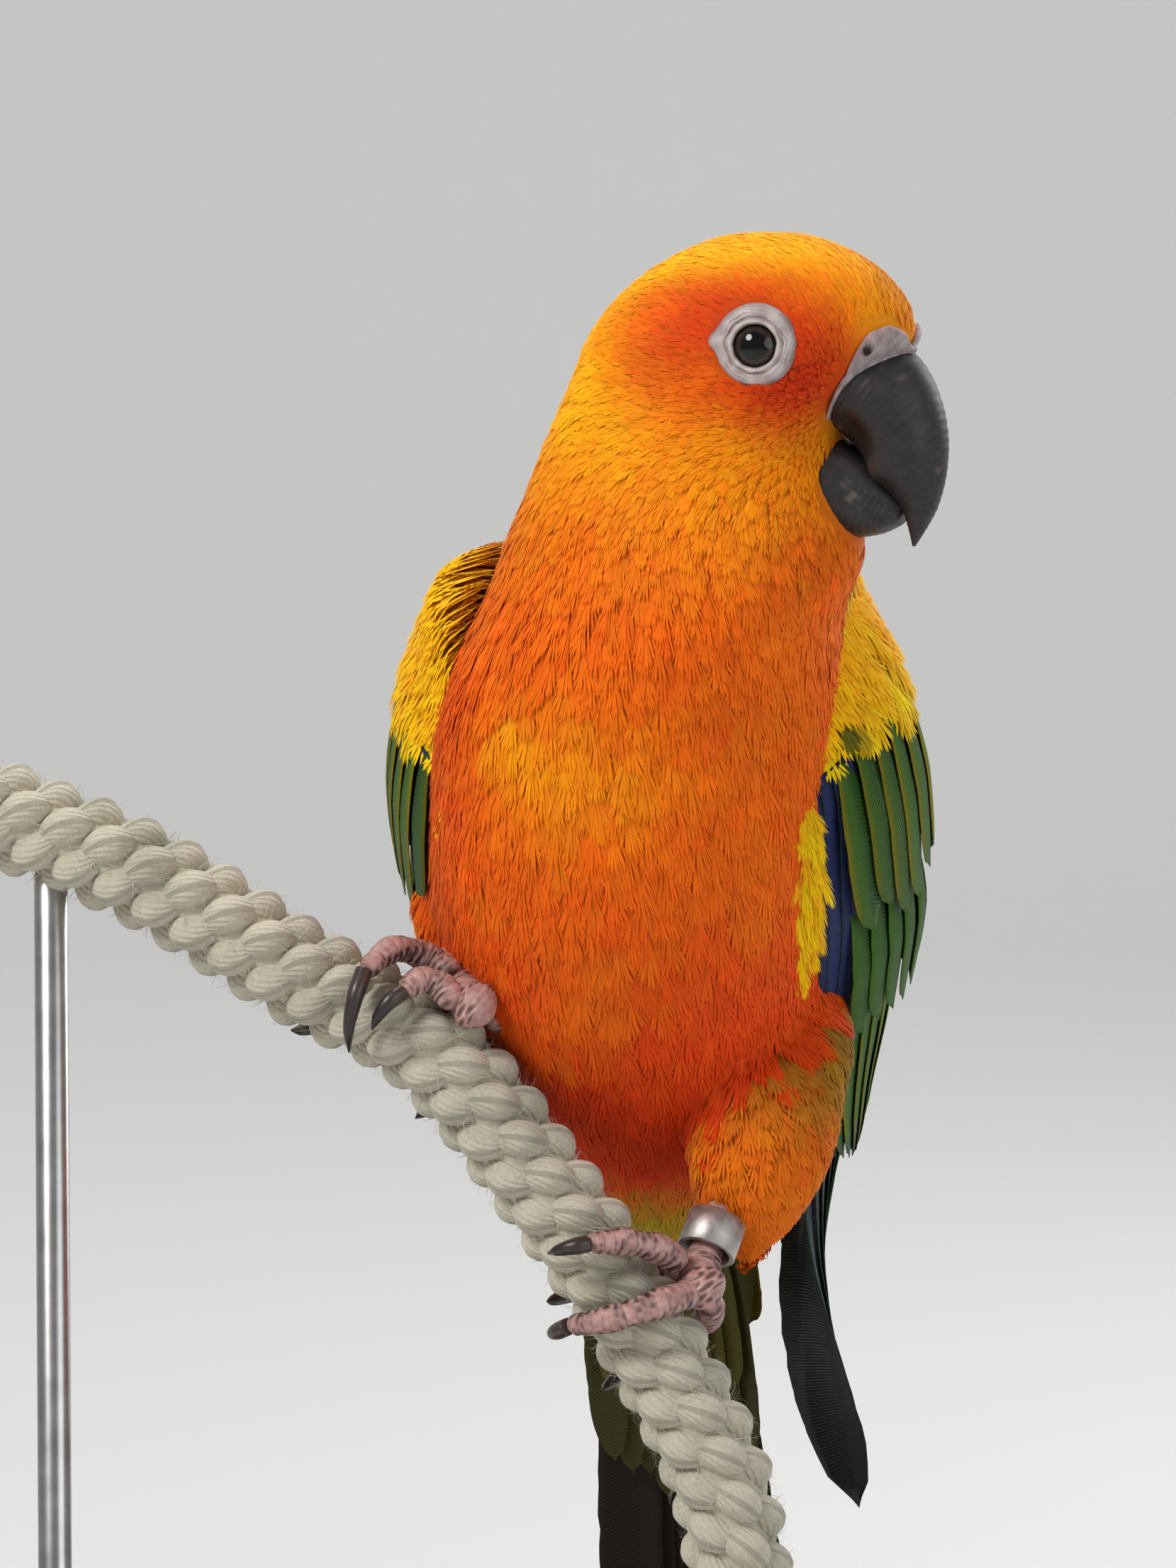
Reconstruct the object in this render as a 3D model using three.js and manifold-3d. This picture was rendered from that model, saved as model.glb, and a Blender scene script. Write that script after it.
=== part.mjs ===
// Sun conure gripping a cut length of cotton rope, life size, on a plain display stand.
// Units are millimetres and degrees. +Z is up, the bird's breast faces -Y, its left side is +X.
// Bird coordinates start at the middle of the trunk. STAND_CENTRE moves them over the stand.
import * as THREE from 'three';
import { mergeVertices } from 'three/addons/utils/BufferGeometryUtils.js';
import Module from 'manifold-3d';

const wasm = await Module();
wasm.setup();

// Clearance kept between neighbouring pieces
const GAP = 0.3;

// Stand: a turned base with its centre under the bird's balance, and two rods
const BASE_RADIUS = 80;
const BASE_HEIGHT = 14;
const ROD_RADIUS = 2;
const STAND_CENTRE = new THREE.Vector3(-18, 33, -187);
const LEFT_ROD_X = -69;

// Rope: cut length held at both ends
const ROPE_RADIUS = 5.35;
const ROPE_BULGE = 0.95;
const ROPE_PITCH = 5.4;
const ROPE_COLUMNS = 6;
const ROPE_Y = -8;

// Trunk, neck and head: how far the trunk leans forward and how far the head turns left
const TRUNK_LEAN = 35;
const HEAD_TURN = 78;
const TRUNK_SIDES = 22;

// Head features, measured forward from the middle of the head, to its right side and up
const HEAD_CENTRE = new THREE.Vector3(14.9, -11, 51);
const EYE_FORWARD = 5.2;
const EYE_UP = 1.2;
const EYE_OUT = 11.1;
const EYE_RADIUS = 3.4;
const EYE_RING_RADIUS = 4.6;
const NOSTRIL_RADIUS = 0.75;
const CERE_SWELL = 1;

// Wing: folded length from the bend to the longest flight feather, and its tiers
const PRIMARIES = 6;
const SECONDARIES = 6;
const GREATER_COVERTS = 7;
const PRIMARY_COVERTS = 3;
const TERTIALS = 3;
const SHINGLE_ROLL = -13;
const VANE_THICKNESS = 0.7;

// Tail: graduated pairs of feathers
const TAIL_PAIRS = 6;
const TAIL_LENGTH = 132;
const TAIL_STEEPNESS = 61;
const TAIL_ROOT = new THREE.Vector3(-3.4, 36, -45);

// Leg ring, a flat split band worn on the left leg
const RING_OUTER = 3.5;
const RING_INNER = 2.9;
const RING_HEIGHT = 4.6;

const rad = THREE.MathUtils.degToRad;
const lerp = THREE.MathUtils.lerp;
const vec = (x, y, z) => new THREE.Vector3(x, y, z);

// Smooth step from 0 to 1 while x runs from a to b
const ease = (a, b, x) => THREE.MathUtils.smoothstep(x, a, b);

// Closed body through rings of points, capped at both ends.
// With alike set, opposite faces of a thin piece are split along the same diagonal.
function loft(rings, alike = false) {
  const count = rings[0].length;
  const points = rings.flat();
  const faces = [];
  for (let i = 0; i < rings.length - 1; i += 1) {
    for (let j = 0; j < count; j += 1) {
      const a = i * count + j;
      const b = i * count + ((j + 1) % count);
      if (alike && j >= count / 2) {
        faces.push(a, b, a + count, b, b + count, a + count);
      } else {
        faces.push(a, b, b + count, a, b + count, a + count);
      }
    }
  }
  for (const [start, last] of [[0, false], [(rings.length - 1) * count, true]]) {
    const middle = vec(0, 0, 0);
    for (let j = 0; j < count; j += 1) middle.addScaledVector(points[start + j], 1 / count);
    points.push(middle);
    for (let j = 0; j < count; j += 1) {
      const a = start + j;
      const b = start + ((j + 1) % count);
      if (last) faces.push(a, b, points.length - 1);
      else faces.push(b, a, points.length - 1);
    }
  }
  return solid(points, faces);
}

// Manifold solid from points and faces, turned so that its faces point out
function solid(points, faces) {
  let volume = 0;
  for (let i = 0; i < faces.length; i += 3) {
    const [a, b, c] = [points[faces[i]], points[faces[i + 1]], points[faces[i + 2]]];
    volume += a.dot(b.clone().cross(c));
  }
  const triVerts = Uint32Array.from(faces);
  if (volume < 0) {
    for (let i = 0; i < triVerts.length; i += 3) {
      [triVerts[i + 1], triVerts[i + 2]] = [triVerts[i + 2], triVerts[i + 1]];
    }
  }
  const vertProperties = Float32Array.from(points.flatMap((p) => [p.x, p.y, p.z]));
  return new wasm.Manifold(new wasm.Mesh({ numProp: 3, vertProperties, triVerts }));
}

// Solid from a three.js geometry placed by a matrix
function placed(geometry, matrix = new THREE.Matrix4()) {
  const bare = geometry.index ? geometry.toNonIndexed() : geometry.clone();
  bare.deleteAttribute('normal');
  bare.deleteAttribute('uv');
  bare.applyMatrix4(matrix);
  const merged = mergeVertices(bare, 1e-4);
  const position = merged.getAttribute('position');
  const points = [];
  for (let i = 0; i < position.count; i += 1) points.push(vec().fromBufferAttribute(position, i));
  const faces = [];
  for (let i = 0; i < merged.index.count; i += 3) {
    const corner = [0, 1, 2].map((k) => merged.index.getX(i + k));
    if (new Set(corner).size === 3) faces.push(...corner);
  }
  return solid(points, faces);
}

// The largest closed surface of a solid, without loose scraps or sealed hollows
function largest(manifold) {
  const parts = manifold.decompose();
  return parts.reduce((best, part) => (part.volume() > best.volume() ? part : best));
}

const join = (parts) => largest(parts.reduce((whole, part) => whole.add(part)));
const cut = (whole, ...tools) => largest(tools.reduce((rest, tool) => rest.subtract(tool), whole));

// Smooth values between stations that each hold numbers and vectors under the same names
function along(stations, steps) {
  const result = [];
  const value = (i, key) => stations[THREE.MathUtils.clamp(i, 0, stations.length - 1)][key];
  const blend = (key, i, f) => {
    const [a, b, c, d] = [i - 1, i, i + 1, i + 2].map((n) => value(n, key));
    return b + 0.5 * f * (c - a + f * (2 * a - 5 * b + 4 * c - d + f * (3 * (b - c) + d - a)));
  };
  for (let i = 0; i < stations.length - 1; i += 1) {
    for (let step = 0; step < steps; step += 1) {
      const f = step / steps;
      result.push(Object.fromEntries(Object.keys(stations[0]).map((key) => [key, blend(key, i, f)])));
    }
  }
  result.push(stations[stations.length - 1]);
  return result;
}

// Trunk, neck and head as one body, from the vent up to the crown.
// Each station: centre, lean of its plane, turn of its front, and reach to side, front and back.
const TRUNK = [
  { x: -4.4, y: 37.5, z: -58, lean: TRUNK_LEAN, turn: 0, side: 4.5, front: 3.5, back: 3.5 },
  { x: -4.2, y: 35, z: -54, lean: TRUNK_LEAN, turn: 0, side: 10.5, front: 7.5, back: 8.5 },
  { x: -3.8, y: 30, z: -46.5, lean: TRUNK_LEAN, turn: 0, side: 16, front: 13, back: 14 },
  { x: -3.2, y: 22.5, z: -36, lean: TRUNK_LEAN, turn: 0, side: 20.5, front: 18.5, back: 18 },
  { x: -2.6, y: 14.5, z: -24, lean: TRUNK_LEAN, turn: 0, side: 23.8, front: 22.8, back: 20.5 },
  { x: -1.6, y: 6.5, z: -11.5, lean: TRUNK_LEAN, turn: 0, side: 24.8, front: 25, back: 22.5 },
  { x: -0.2, y: -0.5, z: 1, lean: TRUNK_LEAN - 3, turn: 0, side: 24.8, front: 25.4, back: 23 },
  { x: 1.6, y: -6, z: 12.5, lean: TRUNK_LEAN - 9, turn: 10, side: 24.4, front: 23, back: 22 },
  { x: 4.4, y: -9, z: 21.5, lean: 17, turn: 40, side: 21.4, front: 22, back: 22 },
  { x: 7, y: -10.2, z: 28, lean: 8, turn: 65, side: 18.7, front: 22.5, back: 22.5 },
  { x: 9, y: -10.8, z: 33.5, lean: 3, turn: 74, side: 17.2, front: 19.6, back: 21.6 },
  { x: 11, y: -11, z: 39, lean: 0, turn: HEAD_TURN, side: 15.8, front: 15.8, back: 21.4 },
  { x: 13, y: -11, z: 44.5, lean: 0, turn: HEAD_TURN, side: 15.4, front: 14.6, back: 21 },
  { x: 14.3, y: -11, z: 49, lean: 0, turn: HEAD_TURN, side: 15.1, front: 17.6, back: 20.4 },
  { x: 15, y: -11, z: 53, lean: 0, turn: HEAD_TURN, side: 14.6, front: 20, back: 19.4 },
  { x: 16, y: -11, z: 57.6, lean: 0, turn: HEAD_TURN, side: 12.8, front: 17.4, back: 16.8 },
  { x: 16.6, y: -11, z: 61.3, lean: 0, turn: HEAD_TURN, side: 10, front: 13, back: 12.4 },
  { x: 16.8, y: -11, z: 63.8, lean: 0, turn: HEAD_TURN, side: 6, front: 7.6, back: 7.2 },
  { x: 16.9, y: -11, z: 64.9, lean: 0, turn: HEAD_TURN, side: 2.2, front: 2.8, back: 2.8 },
];

// Reach of a body section at an angle from its front
function reach(station, angle) {
  const forward = Math.cos(angle) > 0 ? station.front : station.back;
  return 1 / Math.hypot(Math.cos(angle) / forward, Math.sin(angle) / station.side);
}

// The body's surface, grown outwards by a margin
function body(margin = 0) {
  const rings = along(TRUNK, 2).map((station) => {
    const lean = rad(station.lean);
    const front = vec(0, -Math.cos(lean), -Math.sin(lean));
    const left = vec(1, 0, 0);
    return Array.from({ length: TRUNK_SIDES }, (_, k) => {
      const angle = (2 * Math.PI * k) / TRUNK_SIDES;
      const out = reach(station, angle - rad(station.turn)) + margin;
      return vec(station.x, station.y, station.z)
        .addScaledVector(front, out * Math.cos(angle))
        .addScaledVector(left, out * Math.sin(angle));
    });
  });
  return loft(rings);
}

// A slab of space between two leaning planes, for parting the body into nodes
function slab(low, high, lean) {
  const size = 160;
  const box = new THREE.BoxGeometry(size, size, high - low);
  const turn = new THREE.Matrix4().makeRotationX(rad(lean));
  const shift = new THREE.Matrix4().makeTranslation(0, 0, (low + high) / 2);
  return placed(box, turn.multiply(shift));
}

// Head axes: forward along the bill, right side of the head, and up
const FORWARD = vec(Math.sin(rad(HEAD_TURN)), -Math.cos(rad(HEAD_TURN)), 0);
const RIGHT = vec(0, 0, 1).cross(FORWARD).negate();
const UP = vec(0, 0, 1);
const headPoint = (forward, right, up) =>
  HEAD_CENTRE.clone().addScaledVector(FORWARD, forward).addScaledVector(RIGHT, right).addScaledVector(UP, up);

// Bill halves: ridge line and cutting line in the head's mid-plane, with half the width.
// Each station: ridge forward and up, edge forward and up, half width.
const UPPER_BILL = [
  { rf: 12, ru: 2.6, ef: 7.5, eu: -5, w: 6.8 },
  { rf: 17, ru: 2, ef: 10.7, eu: -8.2, w: 6.9 },
  { rf: 20.7, ru: -0.6, ef: 12.5, eu: -9.8, w: 6.6 },
  { rf: 22.9, ru: -4.6, ef: 14.4, eu: -11.8, w: 5.9 },
  { rf: 23.9, ru: -9, ef: 16, eu: -14.4, w: 5 },
  { rf: 23.8, ru: -13.4, ef: 17.6, eu: -16, w: 3.7 },
  { rf: 22.8, ru: -17.4, ef: 18.8, eu: -17.6, w: 2.3 },
  { rf: 21.2, ru: -20.3, ef: 19.5, eu: -19.8, w: 1.1 },
  { rf: 20.2, ru: -21.8, ef: 19.9, eu: -21.7, w: 0.35 },
];
const LOWER_BILL = [
  { rf: 5.5, ru: -8.4, ef: 3.5, eu: -16.6, w: 6 },
  { rf: 10, ru: -10, ef: 8.2, eu: -18.6, w: 6 },
  { rf: 13.2, ru: -12, ef: 11, eu: -19.8, w: 5.2 },
  { rf: 15.2, ru: -15, ef: 13.8, eu: -20.2, w: 4.1 },
  { rf: 17, ru: -16.8, ef: 16.2, eu: -19.6, w: 2.6 },
  { rf: 17.9, ru: -17.6, ef: 17.6, eu: -18.4, w: 1.2 },
];

function bill(stations, margin = 0) {
  const sides = 12;
  const rings = along(stations, margin > GAP ? 1 : 2).map((s) => {
    const middle = headPoint((s.rf + s.ef) / 2, 0, (s.ru + s.eu) / 2);
    const half = headPoint(s.rf, 0, s.ru).sub(headPoint(s.ef, 0, s.eu)).multiplyScalar(0.5);
    half.setLength(half.length() + margin);
    return Array.from({ length: sides }, (_, k) => {
      const angle = (2 * Math.PI * k) / sides;
      return middle.clone()
        .addScaledVector(half, Math.cos(angle))
        .addScaledVector(RIGHT, (s.w + margin) * Math.sin(angle));
    });
  });
  return loft(rings);
}

// Bare cere, a swollen collar over the root of the upper bill with two nostrils
function cere(margin = 0) {
  const stations = UPPER_BILL.slice(0, 3);
  const collar = bill([
    { ...stations[0], w: stations[0].w + CERE_SWELL },
    { ...stations[1], rf: stations[1].rf + 0.5, ru: stations[1].ru + CERE_SWELL, w: stations[1].w + CERE_SWELL },
    { ...stations[2], ru: stations[2].ru + CERE_SWELL, w: stations[2].w + CERE_SWELL },
  ], margin);
  return collar;
}

function nostril(side) {
  const drill = new THREE.CylinderGeometry(NOSTRIL_RADIUS, NOSTRIL_RADIUS * 0.8, 4, 8);
  const place = new THREE.Matrix4().makeRotationFromQuaternion(
    new THREE.Quaternion().setFromUnitVectors(vec(0, 1, 0), RIGHT),
  );
  place.setPosition(headPoint(16.4, side * 5.6, 0.6));
  return placed(drill, place);
}

// Eye: ball, and the ring of bare skin with its lids
function eyeFrame(side) {
  const out = RIGHT.clone().multiplyScalar(side).addScaledVector(FORWARD, 0.2).addScaledVector(UP, 0.04);
  out.normalize();
  const turn = new THREE.Quaternion().setFromUnitVectors(vec(0, 1, 0), out);
  const place = new THREE.Matrix4().makeRotationFromQuaternion(turn);
  place.setPosition(headPoint(EYE_FORWARD, side * EYE_OUT, EYE_UP));
  return place;
}

function eyeball(side, margin = 0) {
  return placed(new THREE.SphereGeometry(EYE_RADIUS + margin, 12, 8), eyeFrame(side));
}

function eyeRing(side) {
  const r = EYE_RING_RADIUS;
  const profile = [[0, -2], [r, -2], [r, 2.2], [r - 0.9, 3], [r - 1.9, 3.3], [0, 3.3]];
  return placed(new THREE.LatheGeometry(profile.map(([x, y]) => new THREE.Vector2(x, y)), 12), eyeFrame(side));
}

// Round well in the head that the eye and its ring sit in
function eyeWell(side) {
  const r = EYE_RING_RADIUS + GAP + 0.1;
  const profile = [[0, -EYE_RADIUS - GAP], [r, -EYE_RADIUS - GAP], [r, 6], [0, 6]];
  return placed(new THREE.LatheGeometry(profile.map(([x, y]) => new THREE.Vector2(x, y)), 16), eyeFrame(side));
}

// Tube of changing radius along a smooth path, with rounded ends
function limb(path, radii, sides = 8, margin = 0) {
  const curve = new THREE.CatmullRomCurve3(path, false, 'centripetal');
  const steps = (path.length - 1) * 2;
  const rings = [];
  for (let i = 0; i <= steps; i += 1) {
    const f = i / steps;
    const at = f * (radii.length - 1);
    const low = Math.min(Math.floor(at), radii.length - 2);
    const radius = lerp(radii[low], radii[low + 1], at - low) + margin;
    const tangent = curve.getTangent(f);
    const side = Math.abs(tangent.y) < 0.9 ? vec(0, 1, 0) : vec(1, 0, 0);
    const u = side.clone().cross(tangent).normalize();
    const v = tangent.clone().cross(u);
    const centre = curve.getPoint(f);
    rings.push(Array.from({ length: sides }, (_, k) => {
      const angle = (2 * Math.PI * k) / sides;
      return centre.clone().addScaledVector(u, radius * Math.cos(angle)).addScaledVector(v, radius * Math.sin(angle));
    }));
  }
  return loft(rings);
}

// The rope's centre line, chosen by hand
const ROPE_LINE = new THREE.CatmullRomCurve3([
  [-81, -1.4], [-75.3, -3.8], [-58.4, -10.6], [-37.6, -22.9], [-24.3, -29.8],
  [-9.2, -47.5], [1.6, -62.8], [11, -80.6], [13.4, -91.8], [14.6, -103],
].map(([x, z]) => vec(x, ROPE_Y, z)), false, 'centripetal');

// Place on the rope: distance along it, angle over its front from the upper edge, and radius
function ropePlace(distance, angle, radius) {
  const f = THREE.MathUtils.clamp(distance / ROPE_LINE.getLength(), 0, 1);
  const tangent = ROPE_LINE.getTangentAt(f);
  const upper = vec(0, 1, 0).cross(tangent).negate().normalize();
  return ROPE_LINE.getPointAt(f)
    .addScaledVector(upper, radius * Math.cos(rad(angle)))
    .addScaledVector(vec(0, -1, 0), radius * Math.sin(rad(angle)));
}

// Distance along the rope at which its centre line passes a given x
function ropeDistance(x) {
  const length = ROPE_LINE.getLength();
  let [low, high] = [0, 1];
  for (let i = 0; i < 30; i += 1) {
    const middle = (low + high) / 2;
    if (ROPE_LINE.getPointAt(middle).x < x) low = middle;
    else high = middle;
  }
  return low * length;
}

// Braided surface: plump strands in columns, each set off by half a pitch from the next
function rope(margin = 0) {
  const sides = ROPE_COLUMNS * 2;
  const length = ROPE_LINE.getLength();
  const steps = Math.round(length / (ROPE_PITCH * 0.6));
  const rings = [];
  for (let i = 0; i <= steps; i += 1) {
    const distance = (length * i) / steps;
    rings.push(Array.from({ length: sides }, (_, k) => {
      const column = Math.floor(k / 2);
      const phase = distance / ROPE_PITCH + 0.5 * (column % 2) + 0.25 * (k % 2);
      const bulge = (0.5 + 0.5 * Math.cos(2 * Math.PI * phase)) * (1 - 0.4 * (k % 2));
      return ropePlace(distance, (360 * k) / sides, ROPE_RADIUS + ROPE_BULGE * bulge + margin);
    }));
  }
  return loft(rings);
}

// Feet. Toe points are distance along the rope from the foot, and angle over its front.
const TOE_CENTRE = 8.4;
const FEET = {
  left: {
    at: ropeDistance(1.2),
    palm: { along: 0.6, angle: 8, out: 9 },
    tarsus: [vec(8.8, -4.6, -54.6), vec(10, -1.6, -50.5), vec(13, 5, -45)],
    toes: {
      1: [[2.6, -6], [4.2, -45], [4.8, -85], [5, -118]],
      2: [[-2.6, 8], [-5.6, 26], [-8.6, 52], [-10.7, 76]],
      3: [[0.6, 14], [-0.6, 55], [-2.2, 98], [-3.9, 133]],
      4: [[-1.4, -32], [-3.2, -58], [-5.2, -92], [-6.4, -125]],
    },
    claws: {
      1: [[5, -132], [5.2, -150], [5.3, -166]],
      2: [[-11.4, 86], [-12.1, 97], [-12.5, 107]],
      3: [[-4.1, 146], [-4.2, 158], [-4.3, 170]],
      4: [[-6.8, -138], [-7.2, -152], [-7.6, -166]],
    },
  },
  right: {
    at: ropeDistance(-24.5),
    palm: { along: 2.2, angle: 22, out: 8.6 },
    tarsus: [vec(-21.4, -4.4, -21.4), vec(-20.8, 0.5, -18.5), vec(-18, 7, -14)],
    toes: {
      1: [[4, -4], [5.4, -42], [6, -80], [6.2, -112]],
      2: [[1, 36], [-1, 30], [-2.8, 34], [-3.8, 56]],
      3: [[-0.6, 4], [-3.8, -4], [-6.9, 16], [-8.4, 54]],
      4: [[0, -26], [-4, -62], [-8.4, -97], [-12, -122]],
    },
    claws: {
      1: [[6.3, -126], [6.4, -142], [6.4, -158]],
      2: [[-4.3, 68], [-4.6, 80], [-4.6, 93]],
      3: [[-7.9, 76], [-7.2, 98], [-6.1, 120]],
      4: [[-13, -132], [-13.9, -141], [-14.6, -149]],
    },
  },
};

// Smooth space taken by the rope, as wide as its bulges
function ropeSleeve() {
  const path = Array.from({ length: 31 }, (_, i) => ropePlace((ROPE_LINE.getLength() * i) / 30, 0, 0));
  return limb(path, [ROPE_RADIUS + ROPE_BULGE + GAP, ROPE_RADIUS + ROPE_BULGE + GAP], 14);
}

function toePath(foot, number) {
  return foot.toes[number].map(([distance, angle]) => ropePlace(foot.at + distance, angle, TOE_CENTRE));
}

function toe(foot, number, margin = 0) {
  return limb(toePath(foot, number), [2, 1.75, 1.85, 1.55, 1.65, 1.35, 1.2], 8, margin);
}

function claw(foot, number) {
  const start = foot.toes[number][3];
  const path = [start, ...foot.claws[number]].map(([distance, angle], i) =>
    ropePlace(foot.at + distance, angle, TOE_CENTRE + 0.2 + [0, 0.5, 0.3, 0][i]));
  return limb(path, [1.15, 1.15, 0.95, 0.7, 0.2], 7);
}

function palm(foot, margin = 0) {
  const ball = new THREE.SphereGeometry(1, 10, 7);
  const centre = ropePlace(foot.at + foot.palm.along, foot.palm.angle, foot.palm.out);
  const place = new THREE.Matrix4().makeScale(3.5 + margin, 3.1 + margin, 3.3 + margin).setPosition(centre);
  return placed(ball, place);
}

function shank(foot, margin = 0) {
  const centre = ropePlace(foot.at + foot.palm.along, foot.palm.angle, foot.palm.out);
  return limb([centre, ...foot.tarsus], [2.4, 1.9, 1.8, 1.9], 10, margin);
}

// Leg ring frame, along the lower shank of the left foot
function ringPlace() {
  const [low, high] = FEET.left.tarsus;
  const turn = new THREE.Quaternion().setFromUnitVectors(vec(0, 1, 0), high.clone().sub(low).normalize());
  return new THREE.Matrix4().makeRotationFromQuaternion(turn).setPosition(low.clone().lerp(high, 0.45));
}

function legRing(margin = 0) {
  const half = RING_HEIGHT / 2 + margin;
  const inner = margin > 0 ? 0 : RING_INNER;
  const outer = RING_OUTER + margin;
  const profile = [[inner, -half], [outer, -half], [outer, half], [inner, half], [inner, -half]];
  return placed(new THREE.LatheGeometry(profile.map(([x, y]) => new THREE.Vector2(x, y)), 24), ringPlace());
}

// Feathered thighs, from inside the flank down to a point over the shank
const THIGHS = {
  left: [
    { x: 17, y: 12, z: -24, a: 6, b: 5 },
    { x: 16, y: 8.5, z: -31, a: 9, b: 9 },
    { x: 14.6, y: 5.5, z: -38, a: 9.6, b: 10 },
    { x: 13.8, y: 3.6, z: -45, a: 9, b: 8.6 },
    { x: 13, y: 2.8, z: -51, a: 6.4, b: 5.8 },
    { x: 12.6, y: 2.8, z: -55, a: 3, b: 3 },
    { x: 12.5, y: 3, z: -57, a: 0.8, b: 0.8 },
  ],
  right: [
    { x: -15, y: 14, z: 0, a: 5, b: 5 },
    { x: -18, y: 9.5, z: -7, a: 8.5, b: 8 },
    { x: -20.2, y: 5.6, z: -13, a: 8.6, b: 8 },
    { x: -21.6, y: 3, z: -18, a: 6.4, b: 6.4 },
    { x: -22.2, y: 1.6, z: -21.5, a: 3.4, b: 3.8 },
    { x: -22.4, y: 1.2, z: -23, a: 1, b: 1 },
  ],
};

function thigh(name, margin = 0) {
  const sides = margin > 0 ? 10 : 12;
  return loft(along(THIGHS[name], margin > 0 ? 1 : 2).map((s) => Array.from({ length: sides }, (_, k) => {
    const angle = (2 * Math.PI * k) / sides;
    return vec(s.x + (s.a + margin) * Math.cos(angle), s.y + (s.b + margin) * Math.sin(angle), s.z);
  })));
}

// Wing surface. The middle line of the folded left wing runs from its bend to the longest tip.
// u runs across from the leading edge to the back, t along the wing, w outwards, in millimetres.
const WING_LINE = new THREE.CatmullRomCurve3([
  [23.5, -6, 21], [28, 1, 11], [29.8, 10, -3], [28.4, 22, -18], [22.8, 36, -38],
  [15.8, 51, -59], [13.6, 66, -79], [16, 79, -97],
].map(([x, y, z]) => vec(x, y, z)), false, 'centripetal');
const WING_LENGTH = WING_LINE.getLength();

// Axis of the leaning trunk and the direction of its back
const TRUNK_AXIS = vec(0, -Math.sin(rad(TRUNK_LEAN)), Math.cos(rad(TRUNK_LEAN)));
const TRUNK_BACK = vec(0, Math.cos(rad(TRUNK_LEAN)), Math.sin(rad(TRUNK_LEAN)));

// Direction out of the trunk at a point, and the point's distance from the trunk's surface
function standOff(point) {
  const middles = TRUNK.slice(0, 9).map((s) => vec(s.x, s.y, s.z));
  const height = point.dot(TRUNK_AXIS);
  let i = 0;
  while (i < middles.length - 2 && middles[i + 1].dot(TRUNK_AXIS) < height) i += 1;
  const [low, high] = [middles[i].dot(TRUNK_AXIS), middles[i + 1].dot(TRUNK_AXIS)];
  const f = THREE.MathUtils.clamp((height - low) / (high - low), 0, 1);
  const offset = point.clone().sub(middles[i].clone().lerp(middles[i + 1], f));
  const [across, behind] = [offset.x, offset.dot(TRUNK_BACK)];
  const radius = Math.hypot(across, behind);
  const side = lerp(TRUNK[i].side, TRUNK[i + 1].side, f);
  const depth = lerp(TRUNK[i].back, TRUNK[i + 1].back, f);
  const surface = 1 / Math.hypot(across / radius / side, behind / radius / depth);
  const out = vec(across, 0, 0).addScaledVector(TRUNK_BACK, behind).divideScalar(radius);
  return { out, distance: radius - surface };
}

// Towards the back the wing curls round until it lies flat across the trunk
const CURL_RADIUS = 11;
const CURL_LIMIT = 1.25;

function wingPlace(side, u, t, w) {
  const f = THREE.MathUtils.clamp(t / WING_LENGTH, 0, 1);
  const centre = WING_LINE.getPointAt(f);
  const run = WING_LINE.getTangentAt(f);
  centre.addScaledVector(run, t - f * WING_LENGTH);
  const facing = rad(lerp(-12, 64, ease(0.3, 0.95, f)));
  const out = vec(Math.cos(facing), Math.sin(facing), 0);
  out.addScaledVector(run, -out.dot(run)).normalize();
  const back = out.clone().cross(run);
  const bend = lerp(u > 0 ? CURL_RADIUS : 27, 70, ease(0.55, 0.95, f));
  const angle = Math.min(u / bend, CURL_LIMIT);
  const rest = u - angle * bend;
  const across = back.clone().multiplyScalar(Math.cos(angle)).addScaledVector(out, -Math.sin(angle));
  const lift = out.clone().multiplyScalar(Math.cos(angle)).addScaledVector(back, Math.sin(angle));
  centre.addScaledVector(back, bend * Math.sin(angle)).addScaledVector(out, -bend * (1 - Math.cos(angle)));
  centre.addScaledVector(across, rest);
  const gap = standOff(centre);
  const pull = ease(0, 14, u) * ease(-64, -40, centre.z);
  if (gap.distance > 1) centre.addScaledVector(gap.out, (1 - gap.distance) * pull);
  centre.addScaledVector(lift, w);
  centre.x += 2 * ease(-40, 30, centre.z) - 1;
  if (side > 0) return centre;
  const lean = 4.4 * ease(-60, 40, centre.z);
  const tuck = ease(34, 70, -centre.z);
  centre.x = -centre.x + lean - 1.2 + 6 * tuck;
  centre.y += 13 * tuck;
  return centre;
}

// Outlines of a blade from root to rounded tip: share of its length, share of its width
const LONG_VANE = [[0, 0.55], [0.5, 0.96], [0.88, 0.9], [1, 0.32]];
const MIDDLE_VANE = [[0, 0.6], [0.5, 1], [0.86, 0.92], [1, 0.4]];
const SHORT_VANE = [[0, 0.75], [0.78, 1], [1, 0.5]];

// One flight feather or covert: a thin curved blade.
// from and to give u, t and w of root and tip. Roll lifts one edge over its neighbour.
function vane(place, from, to, width, roll, options = {}) {
  const { shape = LONG_VANE, lead = 0.5 } = options;
  const rings = [];
  for (const [f, swell] of shape) {
    const u = lerp(from[0], to[0], ease(0, 1, f) * 0.4 + f * 0.6);
    const t = lerp(from[1], to[1], f);
    const w = lerp(from[2], to[2], Math.min(1, f * 2.2));
    const [left, right] = [-width * lead * swell, width * (1 - lead) * swell];
    const thin = lerp(1, 0.75, f) / 2;
    const half = VANE_THICKNESS * thin;
    const tilt = Math.tan(rad(roll));
    const row = [[left, half], [right, half], [right, -half], [left, -half]];
    rings.push(row.map(([across, lift]) => place(u + across, t, w + lift + across * tilt)));
  }
  return loft(rings, true);
}

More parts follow.
